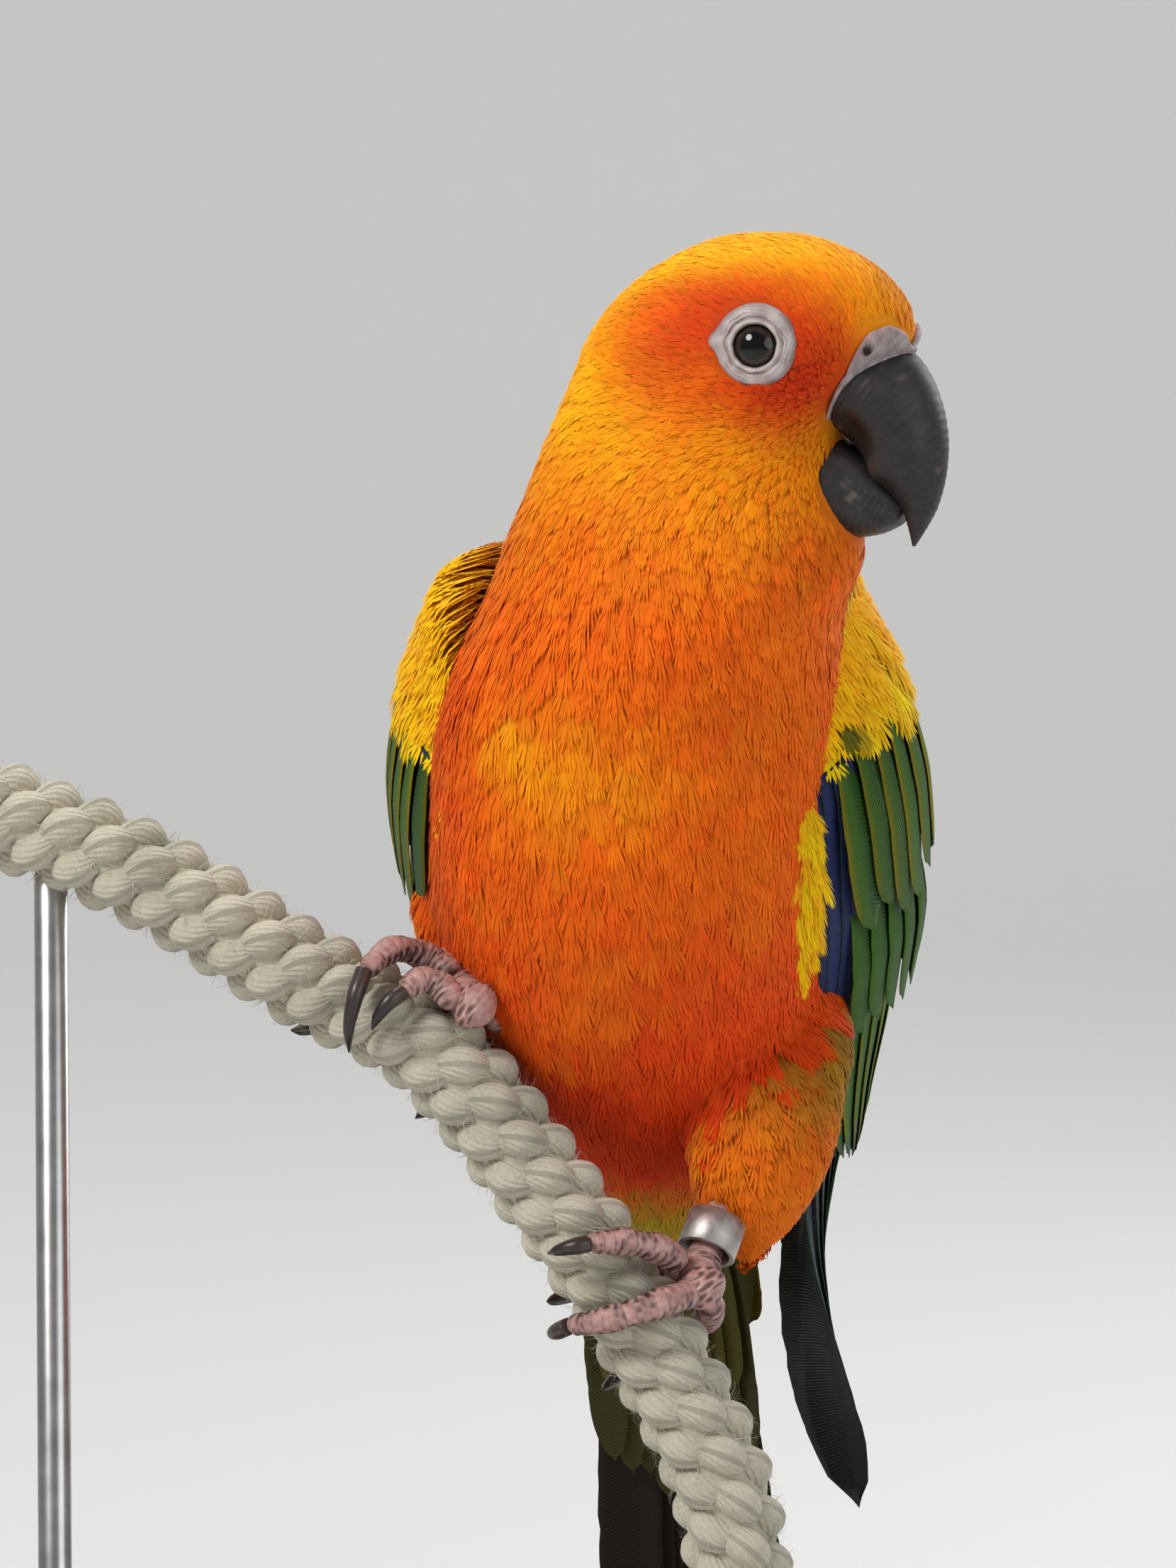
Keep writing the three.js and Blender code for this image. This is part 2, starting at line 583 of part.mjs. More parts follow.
// Lens of flesh and small feathers that carries the tiers of one wing
function wingCore(side) {
  const stations = [
    { t: -1, mid: 2, half: 6, low: -1.2, high: 0.8 },
    { t: 4, mid: 3, half: 16, low: -3, high: 1.6 },
    { t: 14, mid: 1, half: 27, low: -4, high: 2.4 },
    { t: 28, mid: 0.4, half: 30, low: -4, high: 2.4 },
    { t: 42, mid: -0.3, half: 28, low: -3.4, high: 1.6 },
    { t: 54, mid: -0.4, half: 22, low: -2.4, high: 0.6 },
    { t: 64, mid: -1, half: 14, low: -1.6, high: 0 },
    { t: 70, mid: -1.5, half: 6, low: -1, high: -0.4 },
  ];
  const sides = 11;
  return loft(along(stations, 1).map((s) => Array.from({ length: sides }, (_, k) => {
    const angle = (2 * Math.PI * k) / sides;
    const lift = Math.sin(angle) > 0 ? s.high : -s.low;
    return wingPlace(side, s.mid + s.half * Math.cos(angle), s.t, lift * Math.sin(angle));
  })));
}

function wing(side) {
  const place = (u, t, w) => wingPlace(side, u, t, w);
  const parts = [wingCore(side)];
  const row = (count, make) => {
    for (let i = 0; i < count; i += 1) parts.push(make(count > 1 ? i / (count - 1) : 0, i));
  };
  row(PRIMARIES, (f) => vane(place,
    [lerp(-18, 5, f), 50, -1.8], [lerp(-3, 2.5, f), lerp(WING_LENGTH, 106, f), lerp(-3.2, -0.6, f)],
    lerp(9, 7, f), SHINGLE_ROLL, { lead: 0.4 }));
  row(SECONDARIES, (f) => vane(place,
    [lerp(-15, 10, f), 46, -0.2], [lerp(-13, 5, f), lerp(77, 91, f), lerp(0.1, 1, f)],
    6.4, SHINGLE_ROLL, { shape: MIDDLE_VANE }));
  row(TERTIALS, (f) => vane(place,
    [lerp(12, 22, f), 40, 0], [lerp(9, 18, f), lerp(92, 82, f), 1.4], 7, SHINGLE_ROLL, { shape: MIDDLE_VANE }));
  row(PRIMARY_COVERTS, (f) => vane(place,
    [lerp(-24, -17, f), 32, -0.4], [lerp(-21, -14.5, f), lerp(62, 67, f), 0.2], 5, SHINGLE_ROLL,
    { shape: SHORT_VANE }));
  row(GREATER_COVERTS, (f) => vane(place,
    [lerp(-15, 22, f), 36, 1], [lerp(-14, 20, f), lerp(57, 61, f), 2.7], 6.7, SHINGLE_ROLL,
    { shape: SHORT_VANE }));
  return join(parts);
}

// Tail surface: u to the bird's left, t along the tail, w towards its upper side
function tailPlace(u, t, w) {
  const steep = rad(TAIL_STEEPNESS);
  return TAIL_ROOT.clone()
    .add(vec(u, t * Math.cos(steep), -t * Math.sin(steep)))
    .addScaledVector(vec(0, Math.sin(steep), Math.cos(steep)), w - 0.012 * u * u);
}

// Space kept clear for the tail between the wing tips
function tailSpace() {
  const stations = [[2, 12.4, -12, 6.4], [48, 12.4, -10, 5.4], [60, 13, -8, 4.4], [TAIL_LENGTH + 4, 12, -7, 4]];
  return loft(stations.map(([t, half, low, high]) => (
    [[-half, high], [half, high], [half, low], [-half, low]].map(([u, w]) => tailPlace(u, t, w))
  )));
}

function tail() {
  const stations = [
    { t: -6, half: 7, low: -6, high: 4 },
    { t: 4, half: 11, low: -8.5, high: 5 },
    { t: 16, half: 11.5, low: -8.6, high: 4.6 },
    { t: 28, half: 10, low: -6.6, high: 3.4 },
    { t: 40, half: 7, low: -4.8, high: 2 },
    { t: 50, half: 3, low: -3.2, high: 0.8 },
  ];
  const sides = 12;
  const parts = [loft(along(stations, 2).map((s) => Array.from({ length: sides }, (_, k) => {
    const angle = (2 * Math.PI * k) / sides;
    return tailPlace(s.half * Math.cos(angle), s.t, (Math.sin(angle) > 0 ? s.high : -s.low) * Math.sin(angle));
  })))];
  const lengths = [1, 0.955, 0.88, 0.79, 0.69, 0.585];
  for (let pair = 0; pair < TAIL_PAIRS; pair += 1) {
    for (const side of [-1, 1]) {
      const level = pair === 0 && side > 0 ? 2.3 : 1.2 - 1.1 * pair;
      const inner = side * (pair === 0 ? 1.6 : 3.6 + 0.8 * pair);
      parts.push(vane(tailPlace, [side * 3.6, 12, level * 0.7], [inner, TAIL_LENGTH * lengths[pair], level],
        8, 0, { lead: side > 0 ? 0.38 : 0.62 }));
    }
  }
  for (const [count, length, level, spacing] of [[4, 58, -6.6, 4.4], [4, 44, 3.8, 4.4]]) {
    for (let i = 0; i < count; i += 1) {
      const across = (i - (count - 1) / 2) * spacing;
      parts.push(vane(tailPlace, [across * 0.9, 20, level * 0.7], [across, length - 1.6 * Math.abs(across), level],
        6, SHINGLE_ROLL, { shape: SHORT_VANE }));
    }
  }
  return join(parts);
}

// Stand pieces
function standBase() {
  const r = BASE_RADIUS;
  const h = BASE_HEIGHT;
  const profile = [[0, 0], [r, 0], [r, h - 5], [r - 1.2, h - 2.2], [r - 5, h], [0, h]];
  const lathe = new THREE.LatheGeometry(profile.map(([x, y]) => new THREE.Vector2(x, y)), 32);
  const upright = new THREE.Matrix4().makeRotationX(Math.PI / 2);
  return placed(lathe, upright.premultiply(new THREE.Matrix4().makeTranslation(STAND_CENTRE)));
}

function upright(x, y, low, high, radius = ROD_RADIUS) {
  const rod = new THREE.CylinderGeometry(radius, radius, high - low, 16);
  const place = new THREE.Matrix4().makeRotationX(Math.PI / 2).setPosition(x, y, (low + high) / 2);
  return placed(rod, place);
}

// Each material is its own, with the colour, roughness and metalness of its piece
const paint = (color, roughness, metalness = 0) => () => new THREE.MeshStandardMaterial({ color, roughness, metalness });
const orange = paint(0xe8781a, 0.85);
const golden = paint(0xf0a41c, 0.85);
const greenYellow = paint(0x5d7a1e, 0.75);
const darkGreen = paint(0x2c3a1c, 0.75);
const horn = paint(0x2e2c2e, 0.45);
const bareSkin = paint(0xc9bfc0, 0.6);
const footSkin = paint(0xb98a86, 0.65);
const darkClaw = paint(0x3a302c, 0.4);
const glossEye = paint(0x1a0f0a, 0.06);
const dullMetal = paint(0xb9b6b2, 0.35, 0.9);
const cotton = paint(0xcfc8b4, 0.95);
const darkWood = paint(0x4a3222, 0.5);

const group = new THREE.Group();
group.position.copy(STAND_CENTRE).negate();

function node(name, manifold, material) {
  const mesh = manifold.getMesh();
  const geometry = new THREE.BufferGeometry();
  const positions = new Float32Array(mesh.numVert * 3);
  for (let i = 0; i < mesh.numVert; i += 1) {
    for (let k = 0; k < 3; k += 1) positions[3 * i + k] = mesh.vertProperties[i * mesh.numProp + k];
  }
  geometry.setAttribute('position', new THREE.BufferAttribute(positions, 3));
  geometry.setIndex(new THREE.BufferAttribute(Uint32Array.from(mesh.triVerts), 1));
  geometry.computeVertexNormals();
  const piece = new THREE.Mesh(geometry, material());
  piece.name = name;
  group.add(piece);
}

// Heights at which the body is parted, along upright for the head and neck
const NECK_LOW = 22;
const HEAD_LOW = 37;

const whole = body();
const clear = body(GAP);
const ropeClear = ropeSleeve();
const eyeSpace = [-1, 1].map(eyeWell);
const billSpace = [bill(UPPER_BILL, 1.8 * GAP), bill(LOWER_BILL, 1.8 * GAP), cere(1.8 * GAP)];
const thighSpace = { left: thigh('left', 3 * GAP), right: thigh('right', 3 * GAP) };
const below = slab(-200, NECK_LOW - GAP / 2, 8);
const middle = slab(NECK_LOW + GAP / 2, HEAD_LOW - GAP / 2, 8);
const above = slab(HEAD_LOW + GAP / 2, 200, 8);

const feetSpace = ['left', 'right'].flatMap((name) => [
  palm(FEET[name], GAP), shank(FEET[name], GAP), ...[1, 2, 3, 4].map((n) => toe(FEET[name], n, 2 * GAP)),
]);
node('torso', cut(whole.intersect(below), thighSpace.left, thighSpace.right, ...feetSpace), orange);
node('neck', cut(whole.intersect(middle), ...billSpace), orange);
node('head', cut(whole.intersect(above), ...eyeSpace, ...billSpace), golden);

for (const [name, side] of [['left', -1], ['right', 1]]) {
  node(`eye_${name}`, eyeball(side), glossEye);
  node(`eye_ring_${name}`, cut(eyeRing(side), eyeball(side, GAP)), bareSkin);
}
node('beak_upper', bill(UPPER_BILL), horn);
node('cere', cut(cere(), bill(UPPER_BILL, GAP), nostril(1), nostril(-1)), bareSkin);
node('beak_lower', cut(bill(LOWER_BILL), bill(UPPER_BILL, GAP)), horn);

for (const name of ['left', 'right']) {
  const foot = FEET[name];
  const isLeft = name === 'left';
  const leg = join([palm(foot), shank(foot)]);
  const ringed = isLeft ? [legRing(GAP), shank(foot, GAP)] : [shank(foot, GAP), palm(foot, GAP)];
  const legSpace = join([palm(foot, GAP), shank(foot, GAP)]);
  node(`thigh_${name}`, cut(thigh(name), ropeClear, ...ringed), golden);
  node(`foot_${name}`, cut(leg, ropeClear), footSkin);
  for (const number of [1, 2, 3, 4]) {
    node(`toe_${name}_${number}`, cut(toe(foot, number), ropeClear, legSpace), footSkin);
    node(`claw_${name}_${number}`, cut(claw(foot, number), ropeClear, toe(foot, number, GAP)), darkClaw);
  }
}
node('leg_ring', legRing(), dullMetal);

node('wing_left', cut(wing(1), clear, thighSpace.left), greenYellow);
node('wing_right', cut(wing(-1), clear, thighSpace.right, tailSpace()), greenYellow);
node('tail', cut(tail(), clear), darkGreen);

node('perch_rope', rope(), cotton);
node('stand_base', standBase(), darkWood);
const top = STAND_CENTRE.z + BASE_HEIGHT + GAP;
node('stand_rod_left', cut(upright(LEFT_ROD_X, ROPE_Y, top, -8), ropeClear), dullMetal);
node('stand_rod_right', cut(upright(14.6, ROPE_Y, top, -103 - GAP), ropeClear), dullMetal);

export default group;
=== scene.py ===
"""Sun conure gripping a cut length of cotton rope, on a plain display stand.

Sizes are in millimetres in the bird's own coordinates, which start at the middle of its trunk,
with +Z up, its breast towards -Y and its left side towards +X. to_frame() moves them to the frame.
"""

import math

import bpy
import numpy as np
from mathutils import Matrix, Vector
from mathutils.bvhtree import BVHTree
from mathutils.kdtree import KDTree


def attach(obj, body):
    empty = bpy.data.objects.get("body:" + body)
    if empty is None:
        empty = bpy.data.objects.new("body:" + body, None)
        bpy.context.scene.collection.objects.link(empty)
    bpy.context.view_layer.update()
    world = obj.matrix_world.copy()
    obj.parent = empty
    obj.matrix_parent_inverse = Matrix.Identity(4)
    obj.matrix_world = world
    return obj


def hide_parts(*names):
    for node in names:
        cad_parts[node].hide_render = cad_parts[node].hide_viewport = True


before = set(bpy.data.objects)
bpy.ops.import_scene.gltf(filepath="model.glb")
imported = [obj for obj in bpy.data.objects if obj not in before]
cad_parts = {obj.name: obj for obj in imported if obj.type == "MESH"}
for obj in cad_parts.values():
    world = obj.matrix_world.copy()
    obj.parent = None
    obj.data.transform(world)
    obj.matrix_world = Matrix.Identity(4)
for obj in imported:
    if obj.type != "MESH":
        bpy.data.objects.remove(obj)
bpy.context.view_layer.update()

# Place of the bird's coordinates in the frame, and millimetres in metres
STAND_OFFSET = np.array([18.0, -33.0, 187.0])
MM = 0.001
draw = np.random.default_rng(11)


# Numbers and curves

def to_frame(points):
    return (np.asarray(points, float) + STAND_OFFSET) * MM


def ease(low, high, x):
    """Smooth step from 0 to 1 while x runs from low to high."""
    f = np.clip((np.asarray(x, float) - low) / (high - low), 0, 1)
    return f * f * (3 - 2 * f)


def mix(a, b, f):
    return a + (b - a) * f


def unit(v):
    return v / np.maximum(np.linalg.norm(v, axis=-1, keepdims=True), 1e-9)


def circle(count):
    """Angles of so many places round a ring."""
    return np.linspace(0, 2 * math.pi, count, endpoint=False)


def bell(x, centre, width):
    return np.exp(-((x - centre) / width) ** 2)


def stations_along(stations, steps):
    """Catmull-Rom values between stations given as rows of numbers."""
    rows = np.asarray(stations, float)
    padded = np.vstack([rows[:1], rows, rows[-1:]])
    out = []
    for i in range(len(rows) - 1):
        a, b, c, d = padded[i:i + 4]
        for step in range(steps):
            f = step / steps
            curve = 2 * a - 5 * b + 4 * c - d + f * (3 * (b - c) + d - a)
            out.append(b + 0.5 * f * (c - a + f * curve))
    out.append(rows[-1])
    return np.array(out)


class Path:
    """Smooth centripetal curve through points, read by the distance along it."""

    def __init__(self, points, samples=40):
        p = np.asarray(points, float)
        p = np.vstack([2 * p[0] - p[1], p, 2 * p[-1] - p[-2]])
        found = []
        for i in range(1, len(p) - 2):
            k = [0.0]
            for j in range(3):
                k.append(k[-1] + max(np.linalg.norm(p[i + j] - p[i + j - 1]) ** 0.5, 1e-6))
            t = np.linspace(k[1], k[2], samples, endpoint=False)[:, None]
            q = [p[i - 1 + j] for j in range(4)]
            for span, first in ((1, 0), (2, 0), (1, 1)):
                ends = [(k[j + first], k[j + first + span]) for j in range(len(q) - 1)]
                q = [q[j] * (high - t) / (high - low) + q[j + 1] * (t - low) / (high - low)
                     for j, (low, high) in enumerate(ends)]
            found.append(q[0])
        self.points = np.vstack([*found, p[-2:-1]])
        steps = np.linalg.norm(np.diff(self.points, axis=0), axis=1)
        self.reach = np.concatenate([[0], np.cumsum(steps)])
        self.length = self.reach[-1]
        self.tangents = unit(np.gradient(self.points, self.reach, axis=0))

    def at(self, distance):
        d = np.clip(distance, 0, self.length)
        return np.stack([np.interp(d, self.reach, self.points[:, k]) for k in range(3)], -1)

    def along(self, distance):
        d = np.clip(distance, 0, self.length)
        return unit(np.stack([np.interp(d, self.reach, self.tangents[:, k]) for k in range(3)], -1))


# Meshes

def add_object(name, data):
    made = bpy.data.objects.new(name, data)
    bpy.context.scene.collection.objects.link(made)
    return made


def corner_lists(faces):
    return [tuple(int(i) for i in q) for group in faces for q in group]


def plain_mesh(name, places, faces):
    """Smooth mesh from places in metres and a list of face arrays."""
    mesh = bpy.data.meshes.new(name)
    mesh.from_pydata(places.tolist(), [], corner_lists(faces))
    mesh.polygons.foreach_set("use_smooth", [True] * len(mesh.polygons))
    return mesh


def surface_tree(points, faces):
    return BVHTree.FromPolygons([Vector(p) for p in points], corner_lists(faces))


def colour_layer(mesh, label, values):
    four = np.ones((len(values), 4), np.float32)
    four[:, :3] = values
    mesh.color_attributes.new(label, "FLOAT_COLOR", "POINT").data.foreach_set("color", four.ravel())


def mesh_piece(name, points, faces, material, replaces=(), uv=None, tint=None, barbs=None):
    """Piece from points in millimetres and a list of face arrays, riding on the part's one body."""
    mesh = bpy.data.meshes.new(name)
    faces = [np.asarray(f, np.int32) for f in faces]
    sizes = np.concatenate([np.full(len(f), f.shape[1], np.int32) for f in faces])
    corners = np.concatenate([f.ravel() for f in faces])
    mesh.vertices.add(len(points))
    mesh.vertices.foreach_set("co", to_frame(points).astype(np.float32).ravel())
    mesh.loops.add(len(corners))
    mesh.loops.foreach_set("vertex_index", corners)
    mesh.polygons.add(len(sizes))
    mesh.polygons.foreach_set("loop_start", np.concatenate([[0], np.cumsum(sizes)[:-1]]).astype(np.int32))
    mesh.update(calc_edges=True)
    mesh.polygons.foreach_set("use_smooth", np.full(len(sizes), True))
    for label, values in (("tint", tint), ("barbs", barbs)):
        if values is not None:
            colour_layer(mesh, label, values)
    if uv is not None:
        mesh.uv_layers.new(name="OFBake").data.foreach_set("uv", np.asarray(uv, np.float32)[corners].ravel())
    mesh.materials.append(material)
    dress(add_object(name, mesh), replaces)


def dress(piece, replaces=()):
    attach(piece, "root")
    if replaces:
        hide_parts(*replaces)


def grid_faces(rows, columns, wrap=True, first=0):
    """Quads over rows of points, joined round each row where wrap is set."""
    i = np.arange(rows - 1)[:, None] * columns
    j = np.arange(columns if wrap else columns - 1)[None, :]
    k = (j + 1) % columns
    return (np.stack([i + j, i + k, i + columns + k, i + columns + j], -1) + first).reshape(-1, 4)


def capped(rows):
    """Points and faces of a closed body through rings of points."""
    rings = np.asarray(rows, float)
    count, sides = rings.shape[:2]
    middle = rings.mean(1)
    points = np.vstack([rings.reshape(-1, 3), middle[0], middle[-1]])
    j = np.arange(sides)
    k = (j + 1) % sides
    last, end = (count - 1) * sides, count * sides
    faces = [grid_faces(count, sides), np.stack([k, j, np.full(sides, end)], -1),
             np.stack([last + j, last + k, np.full(sides, end + 1)], -1)]
    half = count // 2
    run = middle[min(half + 1, count - 1)] - middle[half - 1]
    if np.cross(rings[half][0] - middle[half], rings[half][1] - middle[half]) @ run < 0:
        faces = [f[:, ::-1] for f in faces]
    return points, faces


def joined(bodies):
    """Points and faces of several bodies as one."""
    points, faces, first = [], [], 0
    for body_points, body_faces in bodies:
        points.append(body_points)
        faces += [f + first for f in body_faces]
        first += len(body_points)
    return np.vstack(points), faces


# Sizes of the bird

HEAD_TURN = math.radians(78)
HEAD_CENTRE = np.array([14.9, -11.0, 51.0])
FORWARD = np.array([math.sin(HEAD_TURN), -math.cos(HEAD_TURN), 0.0])
RIGHT = -np.cross([0.0, 0.0, 1.0], FORWARD)
UP = np.array([0.0, 0.0, 1.0])
EYE_FORWARD, EYE_OUT, EYE_UP = 5.2, 11.1, 1.2
EYE_RADIUS, EYE_RING_RADIUS = 3.4, 4.6
# Inside the bill's root: where the small feathers point away from, and where the bare band is measured from
BILL_ROOT, BILL_HEART = (12.0, 0.0, -6.0), (12.6, 0.0, -2.5)

# Centre, lean of the section, turn of its front, and reach to side, front and back
TRUNK = [
    (-4.4, 37.5, -58, 35, 0, 4.5, 3.5, 3.5), (-4.2, 35, -54, 35, 0, 10.5, 7.5, 8.5),
    (-3.8, 30, -46.5, 35, 0, 16, 13, 14), (-3.2, 22.5, -36, 35, 0, 20.5, 18.5, 18),
    (-2.6, 14.5, -24, 35, 0, 23.8, 22.8, 20.5), (-1.6, 6.5, -11.5, 35, 0, 24.8, 25, 22.5),
    (-0.2, -0.5, 1, 32, 0, 24.8, 25.4, 23), (1.6, -6, 12.5, 26, 10, 24.4, 23, 22),
    (4.4, -9, 21.5, 17, 40, 21.4, 22, 22), (7, -10.2, 28, 8, 65, 18.7, 22.5, 22.5),
    (9, -10.8, 33.5, 3, 74, 17.2, 19.6, 21.6), (11, -11, 39, 0, 78, 15.8, 15.8, 21.4),
    (13, -11, 44.5, 0, 78, 15.4, 14.6, 21), (14.3, -11, 49, 0, 78, 15.1, 17.6, 20.4),
    (15, -11, 53, 0, 78, 14.6, 20, 19.4), (16, -11, 57.6, 0, 78, 12.8, 17.4, 16.8),
    (16.6, -11, 61.3, 0, 78, 10, 13, 12.4), (16.8, -11, 63.8, 0, 78, 6, 7.6, 7.2),
    (16.9, -11, 64.9, 0, 78, 2.2, 2.8, 2.8),
]

# Thighs: centre of each level section and its reach across and deep
THIGHS = {
    "left": [(17, 12, -24, 6, 5), (16, 8.5, -31, 9, 9), (14.6, 5.5, -38, 9.6, 10), (13.8, 3.6, -45, 9, 8.6),
             (13, 2.8, -51, 6.4, 5.8), (12.6, 2.8, -55, 3, 3), (12.5, 3, -57, 0.8, 0.8)],
    "right": [(-15, 14, 0, 5, 5), (-18, 9.5, -7, 8.5, 8), (-20.2, 5.6, -13, 8.6, 8), (-21.6, 3, -18, 6.4, 6.4),
              (-22.2, 1.6, -21.5, 3.4, 3.8), (-22.4, 1.2, -23, 1, 1)],
}

# Bill halves: ridge forward and up, cutting edge forward and up, half width
UPPER_BILL = [
    (12, 2.6, 7.5, -5, 6.8), (17, 2, 10.7, -8.2, 6.9), (20.7, -0.6, 12.5, -9.8, 6.6), (22.9, -4.6, 14.4, -11.8, 5.9),
    (23.9, -9, 16, -14.4, 5), (23.8, -13.4, 17.6, -16, 3.7), (22.8, -17.4, 18.8, -17.6, 2.3),
    (21.2, -20.3, 19.5, -19.8, 1.1), (20.2, -21.8, 19.9, -21.7, 0.35),
]
LOWER_BILL = [
    (5.5, -8.4, 2.4, -16.6, 6.4), (10.4, -9.4, 6.4, -18.4, 6.8), (14, -11.4, 9.6, -19.8, 6.2),
    (16.4, -14.2, 13, -20.6, 5.1), (18, -16.2, 16.2, -20.2, 3.6), (19, -17.4, 18.4, -19.2, 1.9),
]
BILL_STEPS = 9
# Step along the upper bill at which the bare band begins
CERE_FROM = 8
THIGH_COAT = 1.1


def head_point(forward, right, up):
    return HEAD_CENTRE + forward * FORWARD + right * RIGHT + up * UP


def eye_centre(side):
    return head_point(EYE_FORWARD, side * EYE_OUT, EYE_UP)


def eye_out(side):
    """Direction that an eye looks."""
    return unit(RIGHT * side + FORWARD * 0.2 + UP * 0.04)


def coat_depth(z):
    """How deep the skin lies under the tips of the small feathers."""
    return mix(0.8, 0.4, ease(20, 44, z))


def trunk_rings(sides, steps):
    rows = []
    angle = circle(sides)
    for x, y, z, lean, turn, side, front, back in stations_along(TRUNK, steps):
        around = angle - math.radians(turn)
        forward = np.where(np.cos(around) > 0, front, back)
        out = 1 / np.hypot(np.cos(around) / forward, np.sin(around) / side)
        out = np.maximum(out - coat_depth(z), 0.4)
        lean = math.radians(lean)
        to_front = np.array([0, -math.cos(lean), -math.sin(lean)])
        rows.append(np.array([x, y, z]) + np.outer(out * np.cos(angle), to_front)
                    + np.outer(out * np.sin(angle), [1.0, 0, 0]))
    rows[-1] = rows[-1] - UP * coat_depth(60)
    return rows


def bill_section(row, angle, excess=0.0):
    """Points round a section of a bill half, or one point of each of many, pinched towards the ridge."""
    excess = np.asarray(excess, float)[..., None]
    ridge, edge = row[..., :2], row[..., 2:4]
    middle, half = (ridge + edge) / 2, (ridge - edge) / 2
    middle = HEAD_CENTRE + middle[..., :1] * FORWARD + middle[..., 1:] * UP
    half = half[..., :1] * FORWARD + half[..., 1:] * UP
    half = half * (1 + excess / np.maximum(np.linalg.norm(half, axis=-1, keepdims=True), 1e-6))
    wide = (row[..., 4] + excess[..., 0]) * np.sin(angle) * (1 - 0.10 * np.cos(angle))
    return middle + half * np.cos(angle)[..., None] + wide[..., None] * RIGHT


def bill_surface(stations, along, angle, excess=0.0):
    """Points of a bill half at steps along it, counted in stations, and angles from its ridge."""
    fine = stations_along(stations, BILL_STEPS)
    at = np.clip(along, 0, len(stations) - 1) * BILL_STEPS
    low = np.minimum(at.astype(int), len(fine) - 2)
    return bill_section(mix(fine[low], fine[low + 1], (at - low)[..., None]), angle, excess)


def face_rings(sides):
    """Feathered root of the bill, up to the bare band."""
    rows = stations_along(UPPER_BILL, BILL_STEPS)[:CERE_FROM + 1]
    return [bill_section(row, circle(sides), mix(0.75, 0.35, k / CERE_FROM)) for k, row in enumerate(rows)]


def thigh_rings(name, sides, steps):
    rows = []
    angle = circle(sides)
    for x, y, z, a, b in stations_along(THIGHS[name], steps):
        a, b = max(a - THIGH_COAT, 0.3), max(b - THIGH_COAT, 0.3)
        rows.append(np.stack([x + a * np.cos(angle), y + b * np.sin(angle), np.full(sides, z)], -1))
    return rows


# Markings

def srgb(red, green, blue):
    c = np.array([red, green, blue], float) / 255
    return np.where(c <= 0.04045, c / 12.92, ((c + 0.055) / 1.055) ** 2.4)


GOLD = srgb(246, 164, 2)
YELLOW = srgb(240, 190, 4)
ORANGE = srgb(234, 106, 4)
FLAME = srgb(222, 68, 6)
RED = srgb(200, 38, 8)
OLIVE = srgb(108, 104, 22)
GREEN = srgb(36, 82, 14)
LEAF = srgb(84, 122, 14)
NAVY = srgb(26, 36, 78)
SLATE = srgb(26, 30, 34)


def near(points, centre, radii):
    """1 at a centre, falling smoothly to 0 at the given reach along each axis."""
    d = np.linalg.norm((points - np.asarray(centre, float)) / np.asarray(radii, float), axis=-1)
    return ease(0, 1, 1 - d)


def blend(base, colour, amount):
    return base + (colour - base) * np.clip(amount, 0, 1)[:, None]


def ripple(points, size, seed):
    """Smooth blotches between -1 and 1."""
    shifts = np.random.default_rng(seed).uniform(0, 6.28, (3, 3))
    turns = np.random.default_rng(seed + 1).normal(0, 1, (3, 3))
    waves = [np.sin(points @ turn / size * 2 + shift[0]) * np.sin(points[:, ::-1] @ turn / size + shift[1])
             for shift, turn in zip(shifts, turns)]
    return sum(waves) / 3


def painted(colour, coats):
    """A colour with coats of others laid over it, each with its amount."""
    for tone, amount in coats:
        colour = blend(colour, tone, amount)
    return colour


